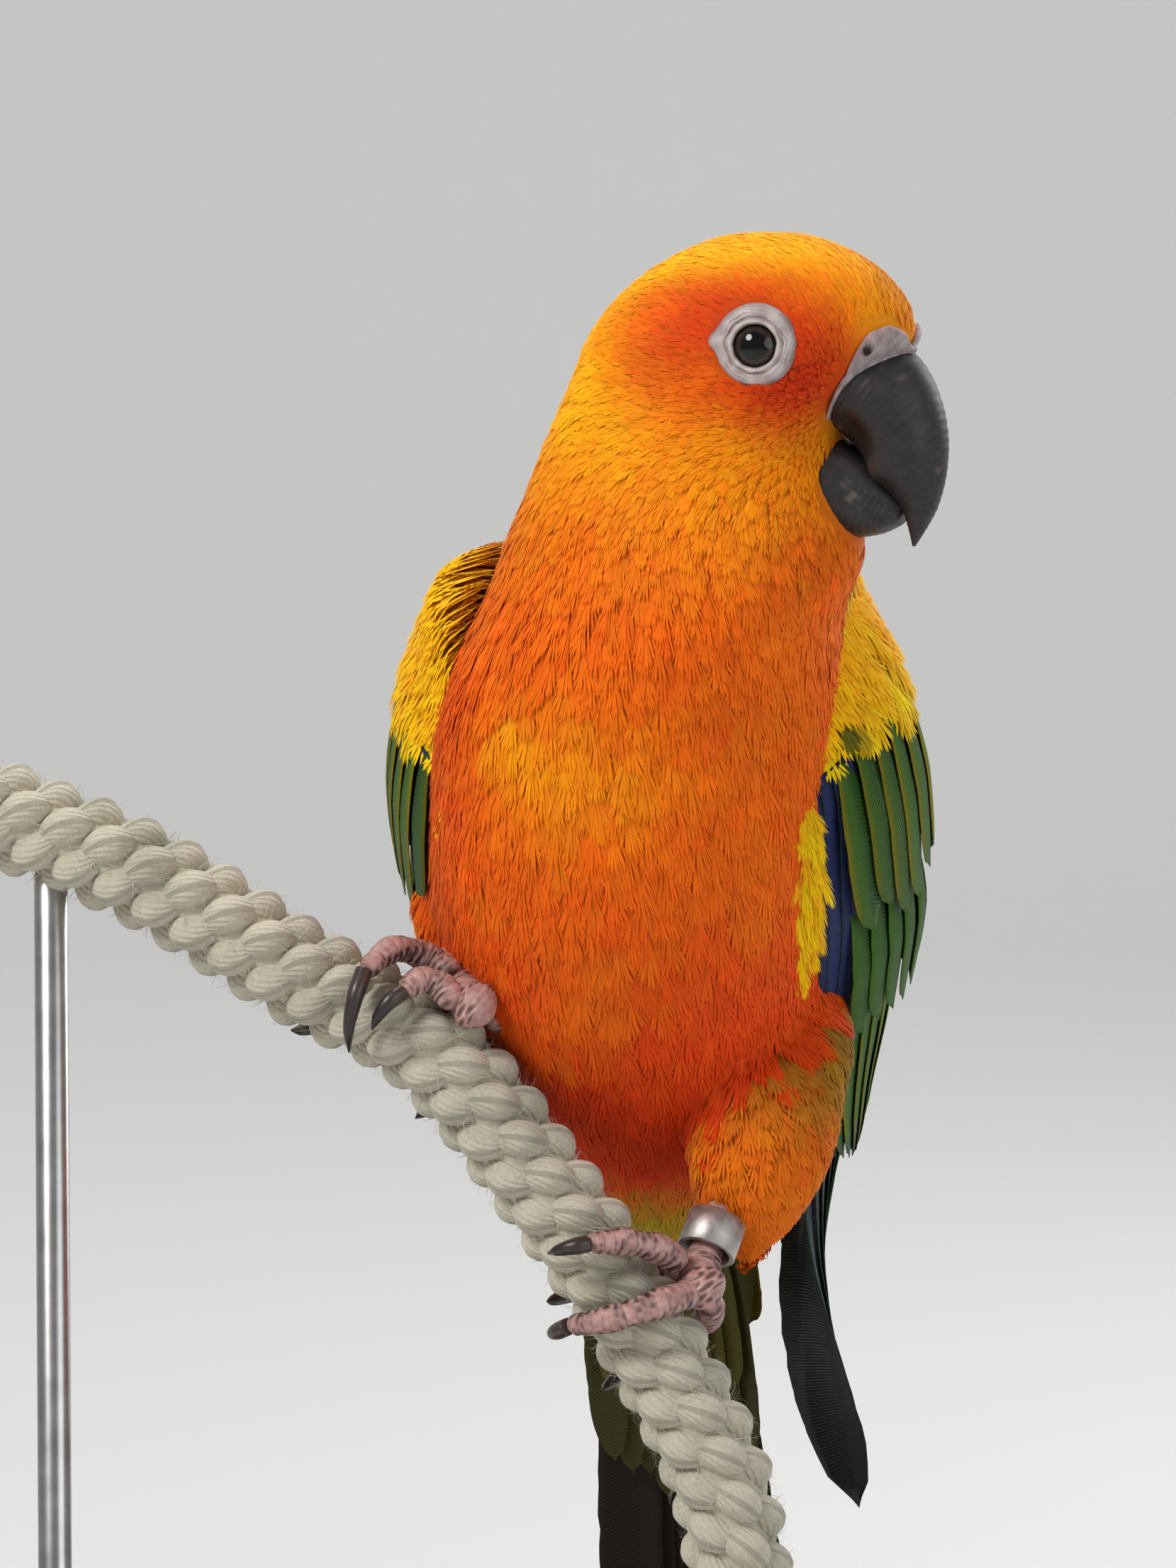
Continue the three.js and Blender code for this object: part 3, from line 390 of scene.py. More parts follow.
def plumage(points):
    """Colour of the small feathers at points on the body, in millimetres."""
    x, y, z = points.T
    head = ease(35, 47, z)
    nape = ease(26, 40, z) * ease(0, 12, y + 11)
    behind_eyes = ease(-3, 12, -((points - HEAD_CENTRE) @ FORWARD))
    crown = ease(6.5, 11.5, (points - HEAD_CENTRE) @ UP)
    colour = painted(np.tile(mix(ORANGE, FLAME, 0.15), (len(points), 1)), (
        (mix(FLAME, RED, 0.15), 0.85 * ease(-2, 22, -z)),
        (mix(FLAME, RED, 0.7), 0.75 * ease(16, 40, -z) * ease(-30, 6, -y)),
        (ORANGE, 0.6 * near(points, (-6, -26, -18), (12, 16, 16))),
        (mix(GOLD, ORANGE, 0.35), 0.85 * near(points, (-4, -28, 9), (15, 18, 12))),
        (mix(GOLD, ORANGE, 0.15), 0.8 * near(points, (-10, -26, 11), (7, 12, 6))),
        (FLAME, 0.55 * near(points, (-19, -16, 8), (10, 18, 24))),
        (mix(GOLD, ORANGE, 0.55), 0.9 * ease(22, 42, z)),
        (FLAME, 0.45 * near(points, (22, -28, 30), (14, 16, 9))),
        (mix(GOLD, ORANGE, 0.25), head * 0.8),
        (mix(GOLD, YELLOW, 0.4), head * behind_eyes * 0.7)))
    for side in (1, -1):
        centre = eye_centre(side)
        colour = painted(colour, (
            (mix(ORANGE, FLAME, 0.5), 0.95 * near(points, centre - FORWARD * 3, (18, 14, 12)) ** 0.6),
            (mix(FLAME, RED, 0.55), near(points, centre - FORWARD * 1.5, (14, 12, 10)) ** 0.5),
            (mix(FLAME, RED, 0.8), near(points, centre + FORWARD * 6.5 - UP * 4.5, (8.5, 9, 9)) ** 0.5),
            (mix(GOLD, ORANGE, 0.5), 0.8 * near(points, centre - UP * 14 + FORWARD, (14, 10, 7)))))
    blotch = ripple(points, 9.0, 5)
    colour = painted(colour, (
        (mix(GOLD, YELLOW, 0.25), crown * 0.95),
        (mix(GOLD, OLIVE, 0.35), 0.6 * near(points, head_point(15, 0, 6), (7, 7, 5))),
        # Dull olive-orange just under the bill on the near side: painted shade of the chin
        (mix(ORANGE, OLIVE, 0.3), 0.5 * near(points, (22, -26, 32), (12, 12, 8))),
        (mix(YELLOW, GOLD, 0.5), nape * 0.8),
        (mix(YELLOW, GOLD, 0.4), ease(12, 22, y + 0.55 * z - 2) * (1 - head)),
        (mix(OLIVE, YELLOW, 0.3), ease(42, 52, -z)),
        (mix(GOLD, ORANGE, 0.3), 0.22 * ease(0.0, 0.8, blotch) * (1 - ease(20, 40, -z))),
        (FLAME, 0.25 * ease(0.0, 0.8, -blotch) * (1 - crown))))
    return blend(colour, colour * 1.12, ease(0, 0.7, ripple(points, 3.0, 15)))


def thigh_colour(points):
    x, _, z = points.T
    return painted(np.tile(mix(ORANGE, OLIVE, 0.15), (len(points), 1)), (
        (OLIVE, 0.75 * ease(-40, -30, z) * ease(0, 12, x - 8)),
        (mix(YELLOW, ORANGE, 0.3), 0.5 * ease(0.1, 0.8, ripple(points, 4.0, 9))),
        (mix(OLIVE, SLATE, 0.4), 0.5 * ease(0, 1, -ripple(points, 3.0, 19)) * ease(-46, -34, z))))


# Materials

def feed(tree, node, inputs):
    """Inputs of a node: sockets are linked to them, anything else is their value."""
    for label, value in inputs.items():
        if isinstance(value, bpy.types.NodeSocket):
            tree.links.new(value, node.inputs[label])
        else:
            node.inputs[label].default_value = value


def put(tree, kind, inputs=None, **settings):
    """Outputs of a new node with these settings and inputs."""
    node = tree.nodes.new(kind)
    for label, value in settings.items():
        setattr(node, label, value)
    feed(tree, node, inputs or {})
    return node.outputs


def maths(tree, operation, *values):
    return put(tree, "ShaderNodeMath", dict(enumerate(values)), operation=operation)["Value"]


def ranged(tree, value, from_low, from_high, to_low=0.0, to_high=1.0):
    return put(tree, "ShaderNodeMapRange", {"Value": value, "From Min": from_low, "From Max": from_high,
                                            "To Min": to_low, "To Max": to_high})["Result"]


def mixed(tree, factor, a, b, way="MIX"):
    inputs = {"Factor": factor, "A": a, "B": b}
    return put(tree, "ShaderNodeMix", inputs, data_type="RGBA", blend_type=way)["Result"]


def bumped(tree, height, strength, distance):
    inputs = {"Strength": strength, "Distance": distance, "Height": height}
    return put(tree, "ShaderNodeBump", inputs)["Normal"]


def attribute(tree, label):
    return put(tree, "ShaderNodeAttribute", attribute_name=label)["Color"]


def barb_phase(tree):
    return put(tree, "ShaderNodeSeparateColor", {"Color": attribute(tree, "barbs")})["Red"]


def opaque(colour):
    return (*colour, 1)


def new_material(name):
    material = bpy.data.materials.new(name)
    material.use_nodes = True
    return material, material.node_tree, material.node_tree.nodes["Principled BSDF"]


def grain_group():
    """Fine grain: a noise value and the normal that it bumps."""
    tree = bpy.data.node_groups.new("surface grain", "ShaderNodeTree")
    for label, value in (("Scale", 400.0), ("Detail", 4.0), ("Height", 0.3), ("Depth", 0.0003)):
        tree.interface.new_socket(label, in_out="INPUT", socket_type="NodeSocketFloat").default_value = value
    for label, kind in (("Value", "NodeSocketFloat"), ("Normal", "NodeSocketVector")):
        tree.interface.new_socket(label, in_out="OUTPUT", socket_type=kind)
    start = put(tree, "NodeGroupInput")
    noise = put(tree, "ShaderNodeTexNoise", {"Vector": put(tree, "ShaderNodeTexCoord")["Object"],
                                             "Scale": start["Scale"], "Detail": start["Detail"]})["Fac"]
    normal = bumped(tree, noise, start["Height"], start["Depth"])
    put(tree, "NodeGroupOutput", {"Value": noise, "Normal": normal})
    return tree


GRAIN = grain_group()


def grained(name, dark, light, rough, scale, height, depth, metal=0.0, coat=0.0):
    """Material between two tones by its grain; without a light one the dark one shades the tint."""
    material, tree, bsdf = new_material(name)
    grain = put(tree, "ShaderNodeGroup", {"Scale": scale, "Height": height, "Depth": depth}, node_tree=GRAIN)
    share = ranged(tree, grain["Value"], 0.3, 0.7)
    if light is None:
        colour = mixed(tree, share, attribute(tree, "tint"), opaque(dark), "MULTIPLY")
    else:
        colour = mixed(tree, share, opaque(dark), opaque(light))
    gloss = ranged(tree, grain["Value"], 0.0, 1.0, rough * 0.85, min(1.0, rough * 1.15))
    feed(tree, bsdf, {"Base Color": colour, "Roughness": gloss, "Normal": grain["Normal"], "Metallic": metal,
                      "Coat Weight": coat})
    return material


def barbed(name, rough, sheen, ridge):
    """Plumage: colour from the tint attribute, ridged along the barbs by their phase, and darkened between the
    ridges as painted shade.
    """
    material, tree, bsdf = new_material(name)
    wave = maths(tree, "SINE", barb_phase(tree))
    # Tint darker where the barb wave dips: painted shade between the barbs
    level = ranged(tree, wave, -1.0, 1.0, 0.78, 1.06)
    feed(tree, bsdf, {"Base Color": mixed(tree, 1.0, attribute(tree, "tint"), level, "MULTIPLY"),
                      "Normal": bumped(tree, wave, ridge, 0.0001), "Roughness": rough, "Sheen Weight": sheen,
                      "Sheen Roughness": 0.4, "Specular IOR Level": 0.18})
    return material


SOFT_PLUMES = barbed("soft plumage", 0.75, 0.05, 0.0)
STIFF_PLUMES = barbed("stiff plumage", 0.55, 0.03, 0.35)


# Skin

# Metres from point to point of the even skin
SKIN_CELL = 0.0009


def skin_object():
    """Points and triangles of trunk, neck, head and thighs as one smooth skin."""
    points, faces = joined([capped(trunk_rings(72, 5)), capped(face_rings(40))]
                           + [capped(thigh_rings(name, 32, 5)) for name in THIGHS])
    piece = add_object("skin", plain_mesh("skin", to_frame(points), faces))
    remesh = piece.modifiers.new("even", "REMESH")
    remesh.mode, remesh.voxel_size = "VOXEL", SKIN_CELL
    soften = piece.modifiers.new("soften", "SMOOTH")
    soften.factor, soften.iterations = 0.5, 6
    even = bpy.data.meshes.new_from_object(piece.evaluated_get(bpy.context.evaluated_depsgraph_get()))
    bpy.data.objects.remove(piece)
    flat = np.zeros(len(even.vertices) * 3, np.float32)
    even.vertices.foreach_get("co", flat)
    found = flat.reshape(-1, 3) / MM - STAND_OFFSET
    for side in (1, -1):
        out = eye_out(side)
        beside = found - eye_centre(side)
        radial = np.linalg.norm(beside - (beside @ out)[:, None] * out, axis=1)
        hollow = (1 - ease(3.2, 4.8, radial)) * (beside @ out > 0)
        found = found - out * (1.3 * hollow)[:, None]
    even.calc_loop_triangles()
    corner = np.zeros(len(even.loop_triangles) * 3, np.int32)
    even.loop_triangles.foreach_get("vertices", corner)
    bpy.data.meshes.remove(even)
    return found.astype(float), corner.reshape(-1, 3)


def skin_unwrap(points):
    """Place on an unwrap of the body's own shape: angle round it, and height."""
    rows = np.asarray(TRUNK, float)
    x, y, z = points.T
    x0, y0 = (np.interp(z, rows[:, 2], rows[:, k]) for k in (0, 1))
    angle = np.arctan2(x - x0, y0 - y) / (2 * math.pi) + 0.5
    return np.stack([0.02 + 0.6 * angle, 0.02 + 0.96 * (z + 62) / 130], -1)


def on_thigh(points):
    """How far points belong to either thigh, from 0 to 1."""
    best = np.zeros(len(points))
    x, y, z = points.T
    for stations in THIGHS.values():
        rows = np.asarray(stations, float)
        order = np.argsort(rows[:, 2])
        x0, y0, a, b = (np.interp(z, rows[order, 2], rows[order, k]) for k in (0, 1, 3, 4))
        inside = np.hypot((x - x0) / a, (y - y0) / b)
        level = (z > rows[:, 2].min() - 1) & (z < rows[:, 2].max())
        outward = np.sign(x0) * (x - np.sign(x0) * 6) > 0
        best = np.maximum(best, np.where(level & outward, 1 - ease(0.93, 1.02, inside), 0))
    return best


skin_points, skin_triangles = skin_object()
# The skin under the small feathers takes their colour, darkened by 0.92 here and again by the plumage material at a
# barb phase of 0: painted shade in the gaps between the feathers
skin_tint = blend(plumage(skin_points), thigh_colour(skin_points), on_thigh(skin_points)) * 0.92
mesh_piece("skin", skin_points, [skin_triangles], SOFT_PLUMES, uv=skin_unwrap(skin_points),
           tint=skin_tint, barbs=0 * skin_points, replaces=("torso", "neck", "head", "thigh_left", "thigh_right"))
skin_tree = surface_tree(skin_points, [skin_triangles])


# Small feathers

# Points along each small feather's line, and how close two roots may lie by their spacing
BONES, CLOSEST = 4, 0.74
# Phase of the barbs where nothing ridges them
STILL_PHASE = 1.2


def lie(points):
    """Direction that the small feathers point, before it is laid along the skin."""
    x, _, z = points.T
    away = unit(points - head_point(*BILL_ROOT))
    down = np.stack([0.010 * (x + 2), 0.15 + 0.30 * ease(-20, 20, -z), np.full(len(x), -1.0)], -1)
    head = ease(24, 44, z)[:, None]
    way = unit(head * away + (1 - head) * unit(down))
    for side in (1, -1):
        beside = points - eye_centre(side)
        distance = np.linalg.norm(beside, axis=-1)
        aside = unit(beside - (beside @ RIGHT)[:, None] * RIGHT)
        toward = np.minimum((way * aside).sum(-1), 0) * (1 - ease(5.5, 8.5, distance))
        way = unit(way - aside * (1.1 * toward)[:, None])
    return way


def spacing(points):
    """Distance between neighbouring small feathers."""
    z = points[:, 2]
    eye = np.minimum(*(np.linalg.norm(points - eye_centre(side), axis=1) for side in (1, -1)))
    bill = np.linalg.norm(points - head_point(14, 0, -4), axis=1)
    size = mix(2.0, 1.0, ease(14, 42, z)) + 0.35 * ease(0, 30, -z)
    size = mix(0.62, size, ease(5, 14, eye))
    size = mix(0.6, size, ease(9, 24, bill))
    return mix(size, 1.7, on_thigh(points))


def from_ridge(angle):
    """How far round the bill an angle lies: 0 at its ridge, 2 at its edge."""
    return np.abs(np.sin(angle / 2)) * 2


def horn_edge(angle):
    """Where the horn of the upper bill comes out of the bare band, in stations."""
    return np.interp(from_ridge(angle), [0, 0.5, 0.8, 1.2, 1.5, 2], [1.75, 1.62, 1.48, 1.2, 1.08, 1.05])


def cere_rings(count=176, rows=36):
    """Rings of the bare band over the bill's root, from under the feathers to under the horn."""
    angle = circle(count)
    side = from_ridge(angle)
    front = bill_surface(UPPER_BILL, horn_edge(angle), angle)
    width = np.interp(side, [0, 0.35, 0.6, 0.9, 1.1, 1.3, 1.6, 2], [0.8, 2.1, 2.9, 2.8, 1.9, 0.9, 0.6, 0.5])
    low = ease(1.1, 1.7, side)[:, None]
    back = front + width[:, None] * unit((1 - low) * (0.85 * UP - 0.5 * FORWARD) - low * FORWARD)
    heart = head_point(*BILL_HEART)
    horn = [bill_section(row, circle(72)) for row in stations_along(UPPER_BILL, BILL_STEPS)[:40]]
    trees = (skin_tree, surface_tree(np.vstack(horn), [grid_faces(40, 72)]))
    share = np.linspace(0, 1, rows)
    straight = back[None] + (front - back)[None] * share[:, None, None] - heart
    ways = unit(straight)
    reach = np.zeros(ways.shape[:2])
    for i in range(rows):
        for j in range(count):
            for tree in trees:
                place, _, _, distance = tree.ray_cast(Vector(heart), Vector(ways[i, j]))
                if place is not None:
                    reach[i, j] = max(reach[i, j], distance)
    reach = np.minimum(reach, np.linalg.norm(straight, axis=-1) + 2.6 * (1 - ease(1.1, 1.5, side))[None])
    for _ in range(5):
        across = (np.roll(reach, 1, 1) + 2 * reach + np.roll(reach, -1, 1)) / 4
        reach[1:-1] = (across[:-2] + 2 * across[1:-1] + across[2:]) / 4
    dome = np.sin(math.pi * share ** 0.8)
    height = 0.3 + 0.5 * dome - 0.9 * (1 - ease(0.0, 0.09, share)) - 0.25 * ease(0.86, 0.97, share)
    reach = reach + height[:, None] * np.interp(side, [0, 0.8, 1.3, 2], [1.1, 1.1, 0.7, 0.5])[None]
    reach[-1] = np.linalg.norm(front - heart, axis=1) - 0.6
    return heart + ways * reach[..., None]


band_rings = cere_rings()
band_tree = surface_tree(*capped(band_rings))


def bill_tree():
    """The bill's surfaces, for keeping the small feathers clear of them."""
    return surface_tree(*joined([capped([bill_section(row, circle(28), 0.3)
                                         for row in stations_along(stations, BILL_STEPS)[first:]])
                                 for stations, first in ((UPPER_BILL, CERE_FROM), (LOWER_BILL, 1))]))


def feathered(points):
    """Places with feathers: clear of the eyes, of the bill and of the bare band."""
    keep = np.ones(len(points), bool)
    for side in (1, -1):
        keep &= np.linalg.norm(points - eye_centre(side), axis=1) > EYE_RING_RADIUS + 0.3
    trees = ((bill_tree(), 0.25, 6), (band_tree, 0.2, 1.6))
    for i in np.nonzero((points[:, 2] > 26) & (points[:, 0] > 15))[0]:
        point = Vector(points[i])
        for tree, gap, depth in trees:
            place, normal, _, distance = tree.find_nearest(point)
            if distance < gap or (point - place).dot(normal) < 0 and distance < depth:
                keep[i] = False
    return keep


def scatter(points, triangles, size_of):
    """Roots spread over a surface, each at least its own spacing from the rest."""
    a, b, c = (points[triangles[:, k]] for k in range(3))
    area = np.linalg.norm(np.cross(b - a, c - a), axis=1) / 2
    size = size_of((a + b + c) / 3)
    wanted = area / size ** 2
    count = int(wanted.sum() * (5))
    pick = draw.choice(len(triangles), count, p=wanted / wanted.sum())
    u, v = draw.random(count), draw.random(count)
    flip = u + v > 1
    u, v = np.where(flip, 1 - u, u), np.where(flip, 1 - v, v)
    found = a[pick] + u[:, None] * (b - a)[pick] + v[:, None] * (c - a)[pick]
    reach = size_of(found) * CLOSEST
    tree = KDTree(count)
    for i, p in enumerate(found):
        tree.insert(p, i)
    tree.balance()
    free = np.ones(count, bool)
    kept = []
    for i in range(count):
        if free[i]:
            kept.append(i)
            for _, j, _ in tree.find_range(found[i], reach[i]):
                free[j] = False
    return found[kept]


def laid_spines(roots, lengths, bones):
    """Lines from the roots along the skin, with the skin's direction out at each point."""
    points = np.zeros((len(roots), bones, 3))
    normals = np.zeros_like(points)
    points[:, 0] = roots
    for i, root in enumerate(roots):
        _, normal, _, _ = skin_tree.find_nearest(Vector(root))
        normals[i, 0] = normal
    step = lengths / (bones - 1)
    for k in range(1, bones):
        way = lie(points[:, k - 1])
        way = unit(way - (way * normals[:, k - 1]).sum(-1, keepdims=True) * normals[:, k - 1])
        ahead = points[:, k - 1] + way * step[:, None]
        for i, p in enumerate(ahead):
            place, normal, _, _ = skin_tree.find_nearest(Vector(p))
            points[i, k], normals[i, k] = place, normal
        normals[:, k] = unit(normals[:, k] * 0.7 + normals[:, k - 1] * 0.3)
    return points, normals


def fan(barbs, seed):
    """One small feather as a fan of barbs: points as along, across and lift, and its triangles."""
    random = np.random.default_rng(seed)
    points, faces, along_barb = [], [], []
    for k in range(barbs):
        f = (k + 0.5) / barbs * 2 - 1
        turn = f * 1.25 + random.normal(0, 0.05)
        start = 0.30 * (1 - abs(f)) + 0.05
        tip_along = 0.28 + 0.72 * math.cos(turn * 0.95) ** 0.8 + random.normal(0, 0.03)
        tip_across = math.sin(turn) * (0.95 + random.normal(0, 0.04))
        wide = 1.25 / barbs
        lift = random.normal(0, 0.05)
        first = len(points)
        for g, w in ((0.0, 0.5), (0.5, 1.0), (0.82, 0.8)):
            a = start + (tip_along - start) * g
            b = tip_across * (g ** (1 + 0.5 * (1 - abs(f)))) * 0.98
            points += [(a, b - wide * w, lift), (a + 0.02, b + wide * w, lift)]
            along_barb += [g, g]
        points.append((tip_along, tip_across, lift + 0.02))
        along_barb.append(1.0)
        faces += [[first + corner for corner in triangle]
                  for triangle in ((0, 1, 3), (0, 3, 2), (2, 3, 5), (2, 5, 4), (4, 5, 6))]
    return np.array(points), np.array(faces), np.array(along_barb), np.repeat(random.normal(0, 1, barbs), 7)


def small_feathers(name, spine, normals, lengths, widths, depth, colours, unwrap, barbs):
    """Coat piece of small feathers, each a fan of barbs laid along its own spine."""
    count, bones = spine.shape[:2]
    variants = [fan(barbs, 100 + k) for k in range(6)]
    which = draw.integers(0, len(variants), count)
    shade, warm, yaw = draw.normal(0, 1, count), draw.normal(0, 1, count), draw.normal(0, 0.10, count)
    side = unit(np.cross(normals, np.gradient(spine, axis=1)))
    all_points, all_tints, all_uv, all_faces, first = [], [], [], [], 0
    for k, (local, triangles, along_barb, tone) in enumerate(variants):
        chosen = np.nonzero(which == k)[0]
        f = np.clip(local[:, 0], 0, 1) * (bones - 1)
        low = np.minimum(f.astype(int), bones - 2)
        part = (f - low)[None, :, None]
        centre, out, across = (field[chosen][:, low] * (1 - part) + field[chosen][:, low + 1] * part
                               for field in (spine, normals, side))
        out = unit(out)
        deep = depth[chosen][:, None]
        sideways = widths[chosen][:, None] * local[None, :, 1]
        sideways = sideways + yaw[chosen][:, None] * lengths[chosen][:, None] * local[None, :, 0]
        height = -0.25 + (deep + 0.25) * np.clip(local[None, :, 0], 0, 1) ** 0.75
        height = height + local[None, :, 2] * deep - sideways ** 2 / 44 - 0.28 * deep * local[None, :, 1] ** 2
        points = centre + across * sideways[..., None] + out * height[..., None]
        light = 1 + 0.03 * shade[chosen][:, None] + 0.07 * tone[None, :] * along_barb[None, :]
        # Darker by the shaft and lighter towards the barb tips: partly the feathers' own paler edges, partly painted
        # shade where they overlap
        light = light * mix(0.9, 1.08, along_barb[None, :] ** 0.8)
        tint = colours[chosen][:, None, :] * light[..., None]
        tint[..., 1] *= 1 + 0.07 * warm[chosen][:, None]
        patch = unwrap[chosen][:, None, :] + np.stack([local[:, 1], local[:, 0]], -1)[None] * 0.0015
        faces = triangles[None] + (np.arange(len(chosen)) * len(local))[:, None, None] + first
        all_points.append(points.reshape(-1, 3))
        all_tints.append(np.clip(tint, 0, 1).reshape(-1, 3))
        all_uv.append(patch.reshape(-1, 2))
        all_faces.append(faces.reshape(-1, 3))
        first += len(chosen) * len(local)
    points = np.vstack(all_points)
    mesh_piece(name, points, [np.vstack(all_faces)], SOFT_PLUMES, uv=np.vstack(all_uv),
               tint=np.vstack(all_tints), barbs=np.full((len(points), 3), STILL_PHASE))


roots = scatter(skin_points, skin_triangles, spacing)
roots = roots[feathered(roots)]
thigh_part = on_thigh(roots)
colours = blend(plumage(roots), thigh_colour(roots), thigh_part)
x, y, z = roots.T
behind = (y - np.interp(z, [row[2] for row in TRUNK], [row[1] for row in TRUNK])) > 0
# Which roots each piece takes, barbs to a feather, length and width by their spacing, and colour slot
regions = {
    "head_plumage": (z >= 34, 9, 4.6, 0.95, "golden_plumage"),
    "neck_plumage": ((z >= 18) & (z < 34), 15, 4.6, 1.05, "orange_plumage"),
    "breast_plumage": ((z < 18) & (z >= -14) & ~behind & (thigh_part < 0.5), 22, 4.4, 1.2, "orange_plumage"),
    "belly_plumage": ((z < -14) & ~behind & (thigh_part < 0.5), 22, 4.4, 1.2, "orange_plumage"),
    "back_plumage": ((z < 18) & behind & (thigh_part < 0.5), 14, 3.2, 1.25, "golden_plumage"),
    "thigh_plumage": ((z < 18) & (thigh_part >= 0.5), 13, 3.6, 1.1, "golden_plumage"),
}
for name, (chosen, barbs, length, width, slot) in regions.items():
    here = roots[chosen]
    lengths = spacing(here) * length * draw.uniform(0.85, 1.15, len(here))
    widths = spacing(here) * width * draw.uniform(0.85, 1.15, len(here))
    spine, normals = laid_spines(here, lengths, BONES)
    small_feathers(name, spine, normals, lengths, widths, coat_depth(here[:, 2]), colours[chosen],
                   skin_unwrap(here), barbs)


# Wings

TRUNK_LEAN = math.radians(35)
TRUNK_AXIS = np.array([0, -math.sin(TRUNK_LEAN), math.cos(TRUNK_LEAN)])
TRUNK_BACK = np.array([0, math.cos(TRUNK_LEAN), math.sin(TRUNK_LEAN)])
LEANING = np.asarray(TRUNK[:9], float)
WING_PATH = Path([(23.5, -6, 21), (28, 1, 11), (29.8, 10, -3), (28.4, 22, -18), (22.8, 36, -38),
                  (15.8, 51, -59), (13.6, 66, -79), (16, 79, -97)])
CURL_RADIUS, CURL_LIMIT = 11.0, 1.25
SHINGLE_ROLL = math.tan(math.radians(-13))
# Along the wing: middle and half width of the covert tract, and how far it swells
WING_TRACT = np.array([(-1, 2, 6, 0.8), (4, 3, 16, 1.6), (14, 1, 27, 2.4), (28, 0.4, 30, 2.4), (42, -0.3, 28, 1.6),
                       (54, -0.4, 22, 0.6), (64, -1, 14, 0.1), (70, -1.5, 6, -0.3)])


def stand_off(points):
    """Direction out of the leaning trunk and the distance from its surface."""
    levels = LEANING[:, :3] @ TRUNK_AXIS
    height = points @ TRUNK_AXIS
    i = np.clip(np.searchsorted(levels, height) - 1, 0, len(levels) - 2)
    f = np.clip((height - levels[i]) / (levels[i + 1] - levels[i]), 0, 1)
    centre = mix(LEANING[i, :3], LEANING[i + 1, :3], f[:, None])
    offset = points - centre
    across, behind_it = offset[:, 0], offset @ TRUNK_BACK
    radius = np.maximum(np.hypot(across, behind_it), 1e-6)
    wide, deep = (mix(LEANING[i, k], LEANING[i + 1, k], f) for k in (5, 7))
    surface = 1 / np.hypot(across / radius / wide, behind_it / radius / deep)
    out = (across[:, None] * np.array([1.0, 0, 0]) + behind_it[:, None] * TRUNK_BACK) / radius[:, None]
    return out, radius - surface


def wing_place(side, u, t, w):
    """Point of a folded wing: u across towards the back, t along it and w outwards."""
    u, t, w = (np.asarray(v, float).ravel() for v in np.broadcast_arrays(u, t, w))
    if side < 0:
        w = w + 1.6 * ease(4, 10, u) * ease(44, 56, t) * (1 - ease(84, 96, t))
    f = np.clip(t / WING_PATH.length, 0, 1)
    run = WING_PATH.along(t)
    centre = WING_PATH.at(t) + run * (t - f * WING_PATH.length)[:, None]
    facing = np.radians(mix(-12, 64, ease(0.3, 0.95, f)))
    out = np.stack([np.cos(facing), np.sin(facing), 0 * facing], -1)
    out = unit(out - (out * run).sum(-1, keepdims=True) * run)
    back = np.cross(out, run)
    bend = mix(np.where(u > 0, CURL_RADIUS, 27.0), 70.0, ease(0.55, 0.95, f))
    angle = np.minimum(u / bend, CURL_LIMIT)
    rest = u - angle * bend
    cosine, sine = np.cos(angle)[:, None], np.sin(angle)[:, None]
    across, lift = back * cosine - out * sine, out * cosine + back * sine
    centre = centre + back * bend[:, None] * sine - out * bend[:, None] * (1 - cosine)
    centre = centre + across * rest[:, None]
    away, gap = stand_off(centre)
    pull = ease(0, 14, u) * ease(-64, -40, centre[:, 2])
    centre = centre + away * (np.where(gap > 1, 1 - gap, 0) * pull)[:, None]
    centre = centre + lift * w[:, None]
    centre[:, 0] += 2 * ease(-40, 30, centre[:, 2]) - 1
    if side > 0:
        return centre
    lean, tuck = 4.4 * ease(-60, 40, centre[:, 2]), ease(34, 70, -centre[:, 2])
    centre[:, 0] = -centre[:, 0] + lean - 1.2 + 6 * tuck
    centre[:, 1] += 13 * tuck
    return centre


def tract(t):
    return tuple(np.interp(t, WING_TRACT[:, 0], WING_TRACT[:, k]) for k in (1, 2, 3))


def tract_height(u, t):
    middle, half, swell = tract(t)
    return swell * np.sqrt(np.clip(1 - ((u - middle) / half) ** 2, 0, 1))


# Distance between the ridges of stiff barbs
BARB_PITCH = 0.62


